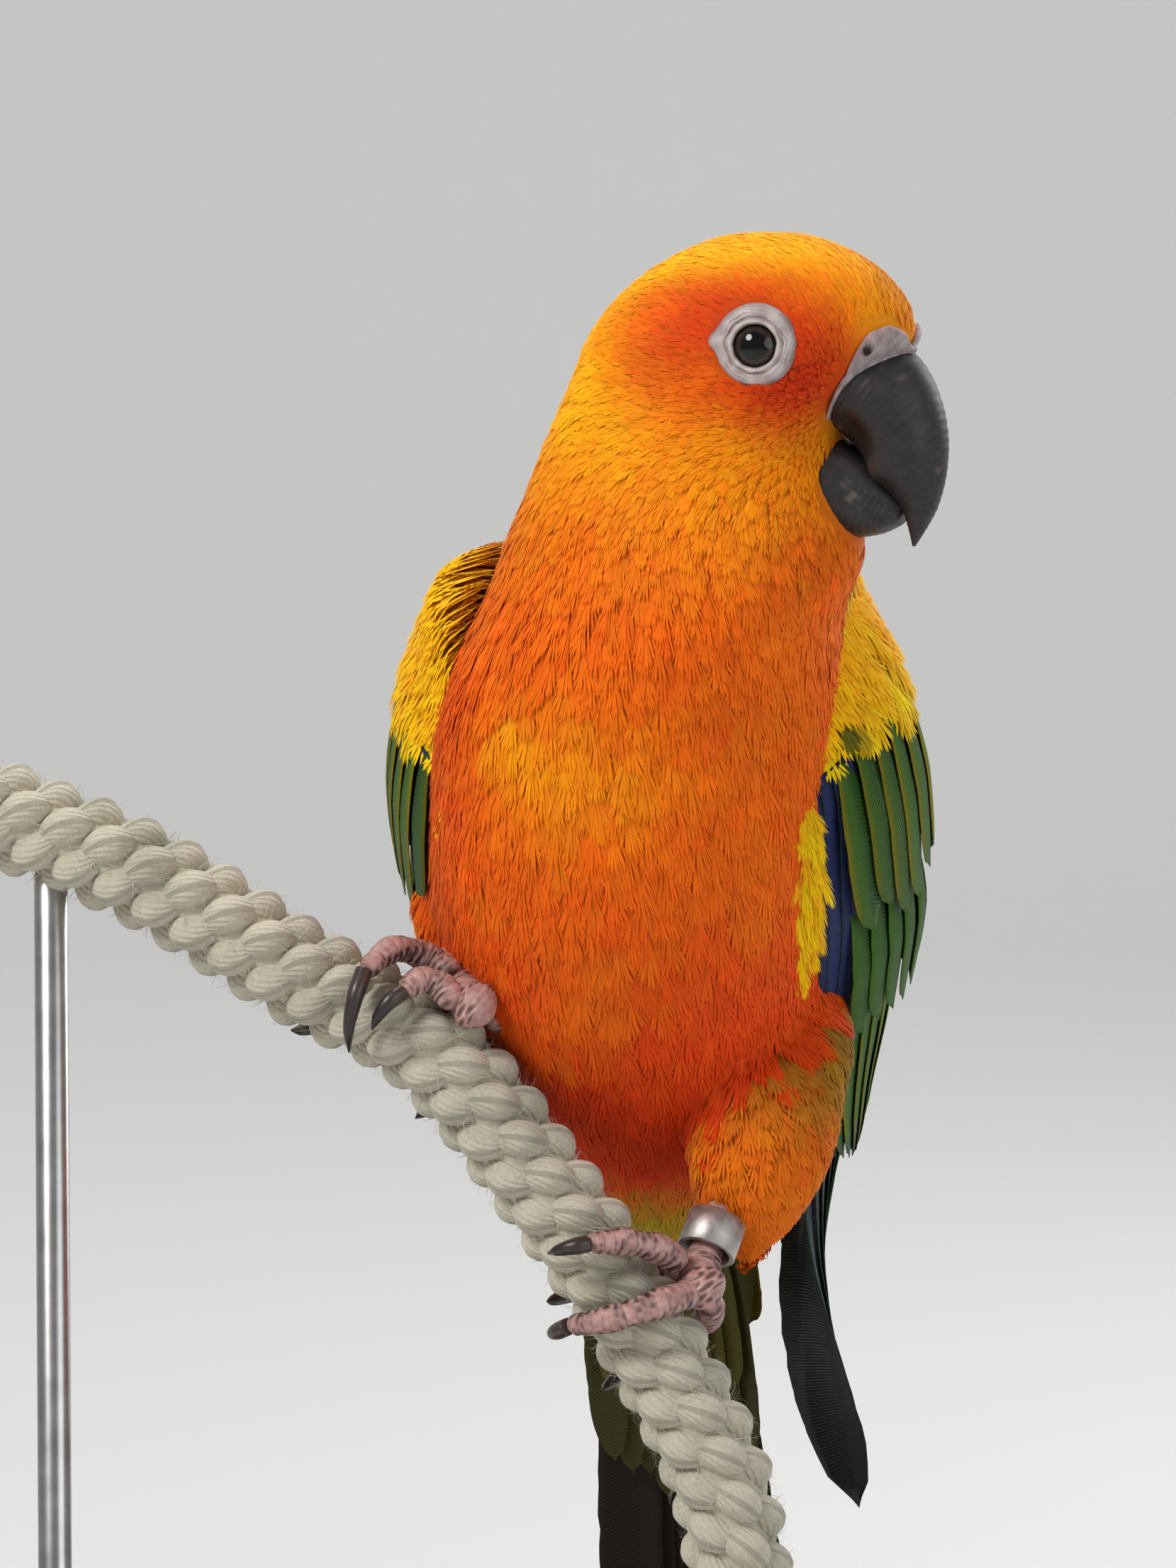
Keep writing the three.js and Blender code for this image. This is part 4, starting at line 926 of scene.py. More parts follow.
class Sheets:
    """Stiff vanes gathered into one piece: each a thin blade with a shaft, a camber and ridged barbs."""

    def __init__(self, rows=18, columns=9, thickness=0.22):
        self.rows, self.columns, self.thickness = rows, columns, thickness
        self.points, self.faces, self.tints, self.barbs, self.uv, self.first = [], [], [], [], [], 0

    def add(self, place, start, end, width, colour, lead=0.5, camber=0.5, tip=0.35, under=None, patch=(0, 0)):
        rows, columns = self.rows, self.columns
        f = np.linspace(0, 1, rows)[:, None] ** 0.9
        b = np.linspace(-1, 1, columns)[None, :]
        round_tip = np.sqrt(np.clip(1 - (np.clip((f - (1 - tip)) / tip, 0, 1)) ** 2.4, 0, 1))
        swell = mix(0.55, 1.0, ease(0, 0.45, f)) * np.maximum(round_tip, 0.04)
        ragged = 1 + draw.normal(0, 0.018, (rows, 1)) * (np.abs(b) > 0.9)
        across = b * swell * width * np.where(b < 0, lead, 1 - lead) * ragged
        bow = draw.normal(0, 0.25)
        f_along = f - 0.5 * tip * 0.12 * b ** 2 * ease(0.6, 1, f)
        u = mix(start[0], end[0], ease(0, 1, f) * 0.4 + f * 0.6) + across + bow * np.sin(f * math.pi)
        t = mix(start[1], end[1], f_along) + 0 * b
        w = mix(start[2], end[2], np.minimum(1, f * 2.2)) + across * SHINGLE_ROLL - camber * b ** 2 * swell
        shaft = 0.14 * (np.abs(b) < 1.5 / columns) * (1 - 0.6 * f)
        top = place(u, t, w + shaft)
        low = place(u, t, w - self.thickness * (1 - 0.5 * f))
        count = rows * columns
        sheet = grid_faces(rows, columns, wrap=False)
        edge = np.concatenate([np.arange(columns), np.arange(1, rows) * columns + columns - 1,
                               (rows - 1) * columns + np.arange(columns - 2, -1, -1),
                               np.arange(rows - 2, 0, -1) * columns])
        ahead = np.roll(edge, -1)
        rim = np.stack([edge, edge + count, ahead + count, ahead], -1)
        faces = np.vstack([sheet, sheet[:, ::-1] + count, rim])
        mid = columns * (rows // 2) + columns // 2
        outward = top[mid] - low[mid]
        if np.cross(top[mid + 1] - top[mid], top[mid + columns] - top[mid]) @ outward < 0:
            faces = faces[:, ::-1]
        long_mm, wide_mm = abs(end[1] - start[1]), width / 2
        phase = (f * long_mm - np.abs(b) * wide_mm * 0.9) * (2 * math.pi / BARB_PITCH)
        flat_f, flat_b = (field.ravel() for field in np.broadcast_arrays(f, b))
        tint = colour(flat_f, flat_b)
        tint = tint * (1 - 0.35 * (np.abs(flat_b) < 1.5 / columns))[:, None]
        below = tint * 0.45 if under is None else np.tile(under, (count, 1))
        self.points += [top, low]
        self.tints += [tint, below]
        self.barbs.append(np.repeat(np.tile(phase.reshape(-1, 1), (2, 1)), 3, axis=1))
        spot = np.array([0.66 + patch[0] * 0.3, 0.03 + patch[1] * 0.94])
        local = np.stack([flat_b, flat_f], -1) * 0.0015 + spot
        self.uv += [local, local + np.array([0.004, 0])]
        self.faces.append(faces + self.first)
        self.first += 2 * count

    def make(self, name, replaces=()):
        mesh_piece(name, np.vstack(self.points), [np.vstack(self.faces)], STIFF_PLUMES, replaces=replaces,
                   uv=np.vstack(self.uv), tint=np.clip(np.vstack(self.tints), 0, 1), barbs=np.vstack(self.barbs))


def webs(outer, inner, edge=None, tip=None, tip_from=0.8, edge_from=0.7):
    """Colour of a vane: outer web, inner web, a fine edge and a tip."""
    lightness = 1 + draw.normal(0, 0.1)

    def colour(f, b):
        tint = blend(np.tile(outer, (len(f), 1)), inner, ease(-0.15, 0.25, b))
        if edge is not None:
            tint = blend(tint, edge, ease(edge_from, 1.0, -b) * (1 - ease(0.85, 1, f)))
        if tip is not None:
            tint = blend(tint, tip, ease(tip_from, 1.0, f))
        return tint * lightness
    return colour


def spread(count):
    return [(k / (count - 1), k) for k in range(count)]


def shoulder_piece(name, place):
    """Soft feathers that run from the neck and back over the upper edge of the folded wing."""
    spines, outs, spots = [], [], []
    levels = np.linspace(-1, 40, 200)
    middle, half, _ = tract(levels)
    for row in range(3):
        for u in np.arange(-12, 29, 1.0):
            u = u + draw.uniform(-0.4, 0.4)
            edge = float(levels[np.argmax(np.abs(u - middle) < half * 0.95)]) + (0 if u > -2 else 0.5)
            over = place(u, edge - 0.6, 1.2)[0]
            end = place(u + draw.uniform(-0.6, 0.6), edge + 2.0 + 2.6 * row,
                        tract_height(u, edge + 3) + 0.7)[0]
            start = np.array(skin_tree.find_nearest(Vector(over))[0])
            start = start - lie(start[None])[0] * (2.5 + 1.6 * row)
            start, normal = (np.array(v) for v in skin_tree.find_nearest(Vector(start))[:2])
            line = Path([start, mix(start, over, 0.55) + normal * 0.8, over, end])
            spines.append(line.at(np.linspace(0, line.length, 5)))
            out = unit(place(u, edge + 3, 3)[0] - place(u, edge + 3, 0)[0])
            outs.append(unit(mix(normal[None], out[None], np.linspace(0, 1, 5)[:, None])))
            spots.append(((u + 30) / 70, 0.1 + 0.25 * row + edge / 400))
    spines, outs = np.array(spines), np.array(outs)
    lengths = np.linalg.norm(np.diff(spines, axis=1), axis=-1).sum(1)
    blot = ease(0, 0.6, ripple(spines[:, 0], 5.0, 77))
    colours = blend(np.tile(mix(YELLOW, GOLD, 0.35), (len(spines), 1)), mix(GOLD, ORANGE, 0.5), 0.5 * blot)
    small_feathers(name + "_shoulder_plumes", spines, outs, lengths, np.full(len(spines), 2.5),
                   np.full(len(spines), 0.7), colours, np.array(spots), 14)


def flight_feathers(name, place, spot):
    """Primaries, secondaries and tertials of a wing."""
    flight = Sheets(rows=22, columns=9)
    dark_under = SLATE * 0.8
    for f, k in spread(9):
        colour = webs(mix(NAVY, SLATE, 0.5), SLATE, edge=mix(GREEN, SLATE, 0.35), tip=SLATE * 0.8, tip_from=0.55)
        flight.add(place, (mix(-18, 5, f), 50, -1.8),
                   (mix(-3, 2.5, f), mix(WING_PATH.length - 0.5, 104, f), mix(-3.2, -0.6, f)), mix(9, 7, f), colour,
                   lead=0.38, camber=0.3, tip=0.22, under=dark_under, patch=(spot, 0.1 + 0.03 * k))
    for f, k in spread(9):
        colour = webs(mix(GREEN, LEAF, 0.2), mix(NAVY, SLATE, 0.4), edge=mix(LEAF, YELLOW, 0.15),
                      tip=mix(GREEN, SLATE, 0.4))
        flight.add(place, (mix(-15, 10, f), 46, -0.2), (mix(-13, 5, f), mix(77, 91, f), mix(0.1, 1, f)), 6.6, colour,
                   camber=0.35, under=dark_under, patch=(spot, 0.4 + 0.02 * k))
    for f, k in spread(5):
        colour = webs(GREEN, mix(GREEN, SLATE, 0.3), edge=mix(LEAF, YELLOW, 0.3), tip=mix(GREEN, NAVY, 0.4))
        flight.add(place, (mix(10, 22, f), 40, 0.2), (mix(7, 18, f), mix(92, 80, f), 1.6), 7, colour, camber=0.4,
                   under=dark_under, patch=(spot, 0.6 + 0.02 * k))
    flight.make(name + "_flight_feathers", replaces=(name,))


def larger_coverts(name, place, spot):
    """Primary coverts, greater coverts and the shorter row over them."""
    coverts = Sheets(rows=12, columns=7, thickness=0.18)
    for f, k in spread(8):
        colour = webs(NAVY * 1.5, mix(NAVY, SLATE, 0.4), edge=mix(NAVY, GREEN, 0.3))
        coverts.add(place, (mix(-23.5, -11, f), 12, 2.3), (mix(-22, -12, f), mix(52, 63, f), 1.3), 4.4, colour,
                    camber=0.3, patch=(spot, 0.7 + 0.012 * k))
    for f, k in spread(12):
        colour = webs(mix(GREEN, LEAF, 0.12), GREEN * 0.75, edge=mix(LEAF, GREEN, 0.4), tip=mix(GREEN, LEAF, 0.3),
                      edge_from=0.6)
        coverts.add(place, (mix(-12.5, 23, f), 34, 1.2),
                    (mix(-12, 21, f), mix(56, 61, f) + draw.normal(0, 0.7), 2.9), 5.0, colour, camber=0.4,
                    patch=(spot, 0.8 + 0.008 * k))
    for f, k in spread(13):
        ripe = draw.random() * (0.25 + 0.6 * ease(0.5, 0.9, f))
        colour = webs(mix(GREEN, LEAF, 0.1 + ripe), GREEN * 0.8, edge=mix(GREEN, YELLOW, 0.15 + 0.8 * ripe),
                      tip=mix(GREEN, LEAF, 0.2 + ripe), edge_from=0.6)
        coverts.add(place, (mix(-12, 24, f), 12, 2.2),
                    (mix(-12, 23, f), mix(38, 42, f) + draw.normal(0, 1.2), 3.4), 5.0, colour, camber=0.4,
                    patch=(spot, 0.9 + 0.006 * k))
    coverts.make(name + "_coverts")


def wing_skin(name, place):
    """Tract of the wing under its small coverts."""
    t, k = np.meshgrid(np.linspace(-1, 70, 60), circle(40), indexing="ij")
    middle, half, swell = tract(t)
    u = middle + half * np.cos(k)
    depth = np.where(np.sin(k) > 0, np.maximum(swell - 0.7, 0.1), 1.6) * np.sin(k)
    points, faces = capped(place(u, t, depth).reshape(60, 40, 3))
    level = np.append(t.ravel(), [-1.0, 70.0])
    # Yellow dimmed to 0.75, turning to slate further along: painted shade under the small coverts
    tint = blend(np.tile(YELLOW * 0.75, (len(points), 1)), SLATE, ease(9, 13, level))
    unwrapped = np.stack([(np.append(u.ravel(), [2, -1.5]) + 30) / 70, (level + 4) / 80], -1)
    mesh_piece(name + "_skin", points, faces, SOFT_PLUMES, uv=unwrapped, tint=tint,
               barbs=0 * points)


def small_coverts(name, side, place):
    """Small coverts in rows from the bend of the wing, and the yellow strip along its front edge."""
    found = []
    reach = 2.5
    for row in range(17):
        t_row = -0.6 + row * reach * 0.86
        middle, half, _ = tract(t_row)
        count = max(int(2 * half / reach), 2)
        for column in range(count):
            u = middle - half * 0.97 + (column + 0.5 * (row % 2) + draw.uniform(-0.2, 0.2)) * reach
            lowest = math.inf if u > 26 else min(7.5 + 0.4 * (u + 10), 14)
            if abs(u - middle) < half * 0.98 and t_row < lowest:
                found.append((u, t_row + draw.uniform(-0.5, 0.5)))
    for t_row in np.arange(11, 52, 1.5):
        for u in (-25.6, -24.6, -23.6):
            inward = 5.2 * (1 - ease(18, 42, t_row)) + 0.06 * (t_row - 11)
            found.append((u + inward + draw.uniform(-0.3, 0.3), t_row + draw.uniform(-0.5, 0.5)))
    u, t = np.array(found).T
    narrow = ease(9, 12, t) * ease(14, 17, -u)
    lengths = mix(8.6, 6.5, narrow) * draw.uniform(0.85, 1.15, len(u))
    widths = mix(2.9, 1.1, narrow) * draw.uniform(0.9, 1.1, len(u))
    steps = np.linspace(0, 1, BONES)[None, :] * lengths[:, None]
    t_line, u_line = t[:, None] + steps, u[:, None] + 0 * steps
    base = np.maximum(tract_height(u_line, t_line), 0) - 0.6
    base = np.maximum(base, narrow[:, None] * mix(2.5, 1.7, ease(12, 60, t_line)))
    spine, above = (place(u_line, t_line, base + lift).reshape(len(u), BONES, 3) for lift in (0, 1))
    normals = unit(above - spine)
    place_here = np.stack([u, t, 0 * u], -1)
    colours = painted(np.tile(YELLOW, (len(u), 1)), (
        (mix(GOLD, ORANGE, 0.4), 0.5 * (1 - ease(-2, 8, t))),
        (mix(LEAF, YELLOW, 0.6), 0.5 * ease(6, 12, t) * ease(-19, -14, u)),
        (GREEN, 0.9 * (side > 0) * near(place_here, (-9.0, 3.5, 0), (2.6, 3.6, 1)) ** 0.5),
        (mix(LEAF, YELLOW, 0.75), 0.4 * ease(0.2, 0.8, ripple(place_here, 5.0, 31)))))
    small_feathers(name + "_small_coverts", spine, normals, lengths, widths, np.full(len(u), 1.5), colours,
                   np.stack([(u + 30) / 70, (t + 4) / 80], -1), 16)


def wing_piece(name, side):
    def place(u, t, w):
        return wing_place(side, u, t, w)

    spot = 0.25 if side > 0 else 0.75
    flight_feathers(name, place, spot)
    larger_coverts(name, place, spot)
    wing_skin(name, place)
    small_coverts(name, side, place)
    shoulder_piece(name, place)


wing_piece("wing_left", 1)
wing_piece("wing_right", -1)


# Tail

TAIL_STEEPNESS, TAIL_LENGTH = math.radians(61), 132.0
TAIL_ROOT = np.array([-3.4, 36.0, -45.0])
TAIL_SHARES = (1, 0.955, 0.88, 0.79, 0.69, 0.585)
# Level, length, number and width of the tail's coverts, their colour and that of their undersides
TAIL_COVERTS = (
    (3.6, 42, 9, 5.0, mix(OLIVE, YELLOW, 0.5), None), (4.4, 30, 8, 4.6, mix(YELLOW, OLIVE, 0.25), None),
    (-6.4, 56, 9, 5.0, OLIVE * 0.5, srgb(66, 64, 30)), (-7.4, 42, 8, 4.6, OLIVE * 0.5, srgb(84, 80, 30)))
# Along the tail's fleshy root: half width, lowest and highest level
TAIL_CORE = ((-6, 7, -6, 4), (4, 11, -8.5, 5), (16, 11.5, -8.6, 4.6), (28, 10, -6.6, 3.4), (40, 7, -4.8, 2),
             (50, 3, -3.2, 0.8))


def tail_place(u, t, w):
    """Point of the tail: u across it, t along it from its root and w over it."""
    u, t, w = (np.asarray(v, float).ravel() for v in np.broadcast_arrays(u, t, w))
    run, rise = math.cos(TAIL_STEEPNESS), math.sin(TAIL_STEEPNESS)
    over = (w - 0.012 * u * u)[:, None] * np.array([0, rise, run])
    return TAIL_ROOT + np.stack([u, t * run, -t * rise], -1) + over


def tail_piece():
    plumes = Sheets(rows=26, columns=9, thickness=0.25)
    for pair, share in enumerate(TAIL_SHARES):
        for side in (-1, 1):
            level = 2.3 if pair == 0 and side > 0 else 1.2 - 1.1 * pair
            inner = side * (1.6 if pair == 0 else 3.6 + 0.8 * pair)
            colour = webs(mix(OLIVE, GREEN, 0.5), mix(OLIVE, GREEN, 0.6), tip=NAVY, tip_from=0.55, edge=NAVY)
            plumes.add(tail_place, (side * 3.6, 12, level * 0.7), (inner, (TAIL_LENGTH - 0.3) * share, level), 8,
                       colour, lead=0.38 if side > 0 else 0.62, camber=0.3, tip=0.16, under=srgb(38, 32, 26),
                       patch=(0.36 + 0.04 * side, 0.05 + 0.02 * pair))
    for row, (level, length, count, width, tone, under) in enumerate(TAIL_COVERTS):
        for k in range(count):
            across = (k - (count - 1) / 2) * 2.1
            colour = webs(tone, tone * 0.8, edge=tone * 1.2)
            plumes.add(tail_place, (across * 0.9, 10, level * 0.8),
                       (across, length - 1.1 * abs(across) + draw.normal(0, 1), level), width, colour, camber=0.3,
                       under=under, patch=(0.5 + 0.04 * row, 0.3 + 0.02 * k))
    plumes.make("tail_feathers", replaces=("tail",))
    angle = circle(32)
    rings = []
    for t, half, low, high in stations_along(TAIL_CORE, 5):
        lift = np.where(np.sin(angle) > 0, high - 0.6, -low - 0.6) * np.sin(angle)
        rings.append(tail_place((half - 0.6) * np.cos(angle), t, lift))
    points, faces = capped(rings)
    # Olive darkened to 0.35: painted shade on the tail's root between its feathers
    mesh_piece("tail_skin", points, faces, SOFT_PLUMES, uv=skin_unwrap(points),
               tint=np.tile(OLIVE * 0.35, (len(points), 1)), barbs=0 * points)


tail_piece()


# Bill, cere and eyes

HORN = grained("bill horn", (0.6, 0.57, 0.56), None, 0.52, 700, 0.4, 0.00012)
BARE_SKIN = grained("bare skin", (0.72, 0.66, 0.66), None, 0.55, 900, 0.35, 0.00012)
CLAW_HORN = grained("claw horn", (0.6, 0.58, 0.58), None, 0.36, 500, 0.2, 0.0001, coat=0.1)


def bill_mesh(name, points, tint, material, replaces=()):
    corners, faces = capped(points)
    tint = np.vstack([tint.reshape(-1, 3), tint[0].mean(0), tint[-1].mean(0)])
    local = corners - HEAD_CENTRE
    uv = np.stack([0.05 + (local @ FORWARD + 5) * 0.02, 0.5 + (local @ UP) * 0.015], -1)
    mesh_piece(name, corners, faces, material, uv=uv, tint=np.clip(tint, 0, 1), replaces=replaces)


def growth_lines(along, angle, waver=0.0):
    return np.sin(along * 26 + 2.4 * np.cos(angle * 2) + waver)


def horn_colour(points, along, angle, seed):
    """Charcoal horn with worn, paler flakes and fine growth lines."""
    flat = points.reshape(-1, 3)
    cloud = ripple(flat, 3.2, seed).reshape(along.shape)
    flakes = ripple(flat, 0.9, seed + 3).reshape(along.shape)
    light = 1 + 0.5 * cloud + 0.10 * growth_lines(along, angle, 1.5 * cloud) + 0.4 * flakes
    colour = srgb(38, 34, 35) * light[..., None]
    worn = ease(0.2, 0.6, cloud) * ease(0.25, 0.6, flakes)
    return mix(colour, srgb(104, 92, 84), np.clip(worn * 0.8, 0, 1)[..., None])


def beak_pieces():
    angle = circle(88)
    f = np.linspace(0, 1, 92)[:, None]
    start = (horn_edge(angle) - 0.12)[None]
    along = start + (len(UPPER_BILL) - 1 - start) * f
    around = np.broadcast_to(angle[None], along.shape)
    ridge_lines = 0.035 * growth_lines(along, around) * (1 - ease(6, 8, along))
    tooth = 0.55 * bell(along, 3.7, 0.5) * bell(np.cos(around), -0.72, 0.3)
    groove = -0.7 * bell(along, 2.2, 0.75) * bell(np.cos(around), -0.62, 0.24)
    points = bill_surface(UPPER_BILL, along, around, ridge_lines + tooth + groove)
    tint = horn_colour(points, along, around, 61)
    # Near black in the sunk groove: painted shade in the recess
    tint = mix(tint, srgb(14, 12, 13), np.clip(-groove * 1.6, 0, 1)[..., None])
    tint = mix(tint, srgb(92, 80, 72), (0.5 * np.clip(tooth / 0.55, 0, 1) ** 2)[..., None])
    bill_mesh("beak_upper_horn", points, tint, HORN, ("beak_upper",))
    f = np.linspace(0, 1, 60)[:, None]
    along = 0 * angle[None] + (len(LOWER_BILL) - 1) * f
    around = np.broadcast_to(angle[None], along.shape)
    swell = 0.04 * np.sin(along * 24 + np.cos(around)) + 0.3 * ease(0.3, 2, along)
    points = bill_surface(LOWER_BILL, along, around, swell)
    tint = horn_colour(points, along, around, 71)
    lip = bell(np.cos(around), 0.72, 0.16) * ease(0.6, 1.6, along)
    tint = mix(tint, srgb(96, 92, 94), np.clip(0.45 * lip, 0, 1)[..., None])
    bill_mesh("beak_lower_horn", points, tint, HORN, ("beak_lower",))


def cere_piece():
    """Swollen bare skin over the root of the upper bill, drawn out thin beside it, with its nostrils."""
    points = band_rings.copy()
    rows, count = points.shape[:2]
    around = np.broadcast_to(circle(count)[None], (rows, count))
    f = np.linspace(0, 1, rows)[:, None]
    along = f + 0 * around
    pit = np.full(along.shape, 9.0)
    for side in (1, -1):
        row = int(0.4 * rows)
        nostril = head_point(15.9, side * 6.0, 1.4)
        column = int(np.argmin(np.linalg.norm(points[row] - nostril, axis=1)))
        pit = np.minimum(pit, np.linalg.norm(points - points[row, column], axis=-1))
    sunk = 0.65 * (1 - ease(0.45, 0.9, pit)) - 0.16 * bell(pit, 1.2, 0.3)
    points = points - sunk[..., None] * unit(points - head_point(*BILL_HEART))
    flat = points.reshape(-1, 3)
    creases = ripple(flat, 0.8, 91).reshape(along.shape)
    points = points + 0.05 * creases[..., None] * unit(points - points.mean(1, keepdims=True))
    pale, dark, rosy = srgb(184, 172, 172), srgb(116, 102, 104), srgb(170, 128, 124)
    tint = mix(pale, dark, np.clip(0.25 + 0.45 * creases + 0.35 * ease(0.6, 0.9, f), 0, 1)[..., None])
    tint = mix(tint, rosy, (0.5 * (1 - ease(0.1, 0.5, f)) + 0 * around)[..., None])
    scurf = bell(f, 0.95, 0.03) * (0.55 + 0.45 * np.sin(around * 27))
    tint = mix(tint, srgb(216, 208, 202), scurf[..., None])
    # Near black in the nostrils: painted shade in their pits
    tint = mix(tint, srgb(26, 16, 14), (1 - ease(0.5, 0.85, pit))[..., None])
    bill_mesh("cere_band", points, tint, BARE_SKIN, ("cere",))


beak_pieces()
cere_piece()


# The lids' section: reach and height over the eye's centre
LID_PROFILE = [(5.0, 1.2), (4.9, 2.0), (4.6, 2.5), (4.3, 2.7), (4.0, 2.8), (3.8, 2.86), (3.55, 2.84), (3.35, 2.74),
               (3.15, 2.8), (2.95, 3.0), (2.78, 3.02), (2.62, 2.85), (2.5, 2.55), (2.42, 2.25), (2.0, 2.3)]


def eye_pieces(name, side):
    centre, out = eye_centre(side), eye_out(side)
    forward = unit(FORWARD - out * (FORWARD @ out))
    up = unit(np.cross(out, forward)) * side
    if up @ UP < 0:
        up = -up

    def around_eye(angle, reach, height):
        return centre + height[..., None] * out + (reach * np.cos(angle))[..., None] * forward \
            + (reach * np.sin(angle))[..., None] * up

    # Glossy ball with pupil, brown iris and dark rim, told apart by the distance from its axis
    polar, around = np.meshgrid(np.linspace(0.0, math.pi, 49)[1:-1], circle(56), indexing="ij")
    bulge = EYE_RADIUS * (1 + 0.035 * bell(polar, 0, 0.45))
    points, faces = capped(around_eye(around, bulge * np.sin(polar), bulge * np.cos(polar)))
    wide = np.append(np.sin(polar).ravel() * EYE_RADIUS, [0.0, 9.0])
    spoke = np.append(around.ravel(), [0, 0])
    streaks = np.clip(0.5 + 0.5 * np.sin(spoke * 34) * np.sin(spoke * 13 + wide * 4), 0, 1)[:, None]
    tint = painted(np.tile(srgb(6, 5, 5), (len(points), 1)), (
        (mix(srgb(34, 24, 20), srgb(62, 46, 38), streaks), ease(1.5, 1.75, wide)),
        (srgb(20, 14, 12), ease(2.1, 2.4, wide))))
    gloss, tree, bsdf = new_material(name + " gloss")
    feed(tree, bsdf, {"Base Color": attribute(tree, "tint"), "Roughness": 0.06, "Specular IOR Level": 0.42})
    mesh_piece(name + "_ball", points, faces, gloss, uv=skin_unwrap(points), tint=tint,
               replaces=(name,))

    # Folded ring of bare skin, drawn out to a corner towards the nape
    fine = stations_along(LID_PROFILE, 4)
    around = circle(120)
    corner = bell(around, math.pi * 0.97, 0.22)
    pale, crease_shade = srgb(206, 196, 194), srgb(142, 126, 126)
    beads = np.random.default_rng(21).normal(0, 1, 9)
    rows, tints = [], []
    for k, (radius, height) in enumerate(fine):
        f = k / (len(fine) - 1)
        waver = sum(b * np.sin((i + 5) * around + 3 * i + 4 * f) for i, b in enumerate(beads)) / 9
        folds = 0.06 * np.sin(radius * 13 + 4.5 * waver + 1.2 * np.sin(around * 2)) * ease(2.7, 3.1, radius) \
            * (1 - ease(4.0, 4.6, radius)) * (0.5 + 0.5 * np.sin(around * 3 + radius * 2))
        beading = 0.05 * np.sin(around * 40) * bell(radius, 2.75, 0.12)
        reach = radius * (1 + 0.012 * waver) * np.where(np.sin(around) > 0, 0.985, 0.96)
        reach = reach + corner * 0.75 * ease(2.6, 4.8, radius)
        rows.append(around_eye(around, reach, height + folds + beading - 0.10 * corner * ease(2.6, 4.0, radius)))
        seam_shade = bell(radius, 3.32 + 0.08 * waver, 0.14)
        # Darker in the folds, in the dips of the beading, in the seam and towards the outer edge under the feathers,
        # all painted shade, and lighter on the crest as a painted highlight; the waver adds random tone
        deep = np.clip(0.35 - 4.0 * folds - 3 * beading + 0.5 * waver + 0.55 * seam_shade
                       - 0.5 * bell(radius, 2.85, 0.13) + 0.5 * ease(4.2, 4.8, radius), 0, 1)[:, None]
        # Darker at the inner rim, where the lid turns in against the eye: painted shade
        rim = float(ease(2.62, 2.45, radius) if radius < 2.45 else 1 - ease(2.45, 2.65, radius))
        tints.append(mix(mix(pale, crease_shade, deep), srgb(70, 56, 54), rim))
    points, faces = capped(rows)
    mesh_piece(name.replace("eye", "eye_lids"), points, faces, BARE_SKIN, uv=skin_unwrap(points),
               tint=np.vstack([*tints, np.tile(crease_shade, (2, 1))]), replaces=(name.replace("eye", "eye_ring"),))


eye_pieces("eye_left", -1)
eye_pieces("eye_right", 1)


# Rope, feet and claws

ROPE_PITCH, ROPE_COLUMNS, ROPE_Y = 5.4, 6, -8.0
# The strands' distance from the rope's centre, their slant and half their length, width and height
STRAND_REACH, STRAND_SLANT, STRAND_HALF = 4.2, math.radians(44), (3.75, 2.2, 2.3)
ROPE_SURFACE, ROPE_CORE = 5.3, 4.3
ROPE = Path([(x, ROPE_Y, z) for x, z in ((-81, -1.4), (-75.3, -3.8), (-58.4, -10.6), (-37.6, -22.9), (-24.3, -29.8),
                                         (-9.2, -47.5), (1.6, -62.8), (11, -80.6), (13.4, -91.8), (14.6, -103))])
# Distance of the toes from the rope's centre, and what their claws add to it
TOE_CENTRE, CLAW_LIFTS = 8.4, (0.2, 0.7, 0.5, 0.2)
PLATE_LENGTH = 1.15
FEET = {
    "left": dict(
        at=1.2, palm=(0.6, 8, 9), tarsus=((8.8, -4.6, -54.6), (10, -1.6, -50.5), (13, 5, -45)),
        toes=(((2.6, -6), (4.2, -45), (4.8, -85), (5, -118)), ((-2.6, 8), (-5.6, 26), (-8.6, 52), (-10.7, 76)),
              ((0.6, 14), (-0.6, 55), (-2.2, 98), (-3.9, 133)),
              ((-1.4, -32), (-3.2, -58), (-5.2, -92), (-6.4, -125))),
        claws=(((5, -132), (5.2, -150), (5.3, -166)), ((-11.4, 86), (-12.1, 97), (-12.5, 107)),
               ((-4.1, 146), (-4.2, 158), (-4.3, 170)), ((-6.8, -138), (-7.2, -152), (-7.6, -166)))),
    "right": dict(
        at=-24.5, palm=(2.2, 22, 8.6), tarsus=((-21.4, -4.4, -21.4), (-20.8, 0.5, -18.5), (-18, 7, -14)),
        toes=(((4, -4), (5.4, -42), (6, -80), (6.2, -112)), ((1, 36), (-1, 30), (-2.8, 34), (-3.8, 56)),
              ((-0.6, 4), (-3.8, -4), (-6.9, 16), (-8.4, 54)), ((0, -26), (-4, -62), (-8.4, -97), (-12, -122))),
        claws=(((6.3, -126), (6.4, -142), (6.4, -158)), ((-4.3, 68), (-4.6, 80), (-4.6, 93)),
               ((-7.9, 76), (-7.2, 98), (-6.1, 120)), ((-13, -132), (-13.9, -141), (-14.6, -149)))),
}


def rope_place(distance, angle, radius):
    """Place by distance along the rope, angle over its front from the upper edge, and radius."""
    tangent = ROPE.along(distance)
    upper = unit(-np.cross([0, 1.0, 0], tangent))
    turn = np.radians(angle)
    front = np.array([0, -1.0, 0])
    return ROPE.at(distance) + upper * radius * math.cos(turn) + front * radius * math.sin(turn)


SCALED_SKIN = grained("scaled foot skin", (0.62, 0.56, 0.55), None, 0.5, 1100, 0.3, 0.00008)
PINK, DARK_SCALE = srgb(208, 164, 158), srgb(54, 36, 32)


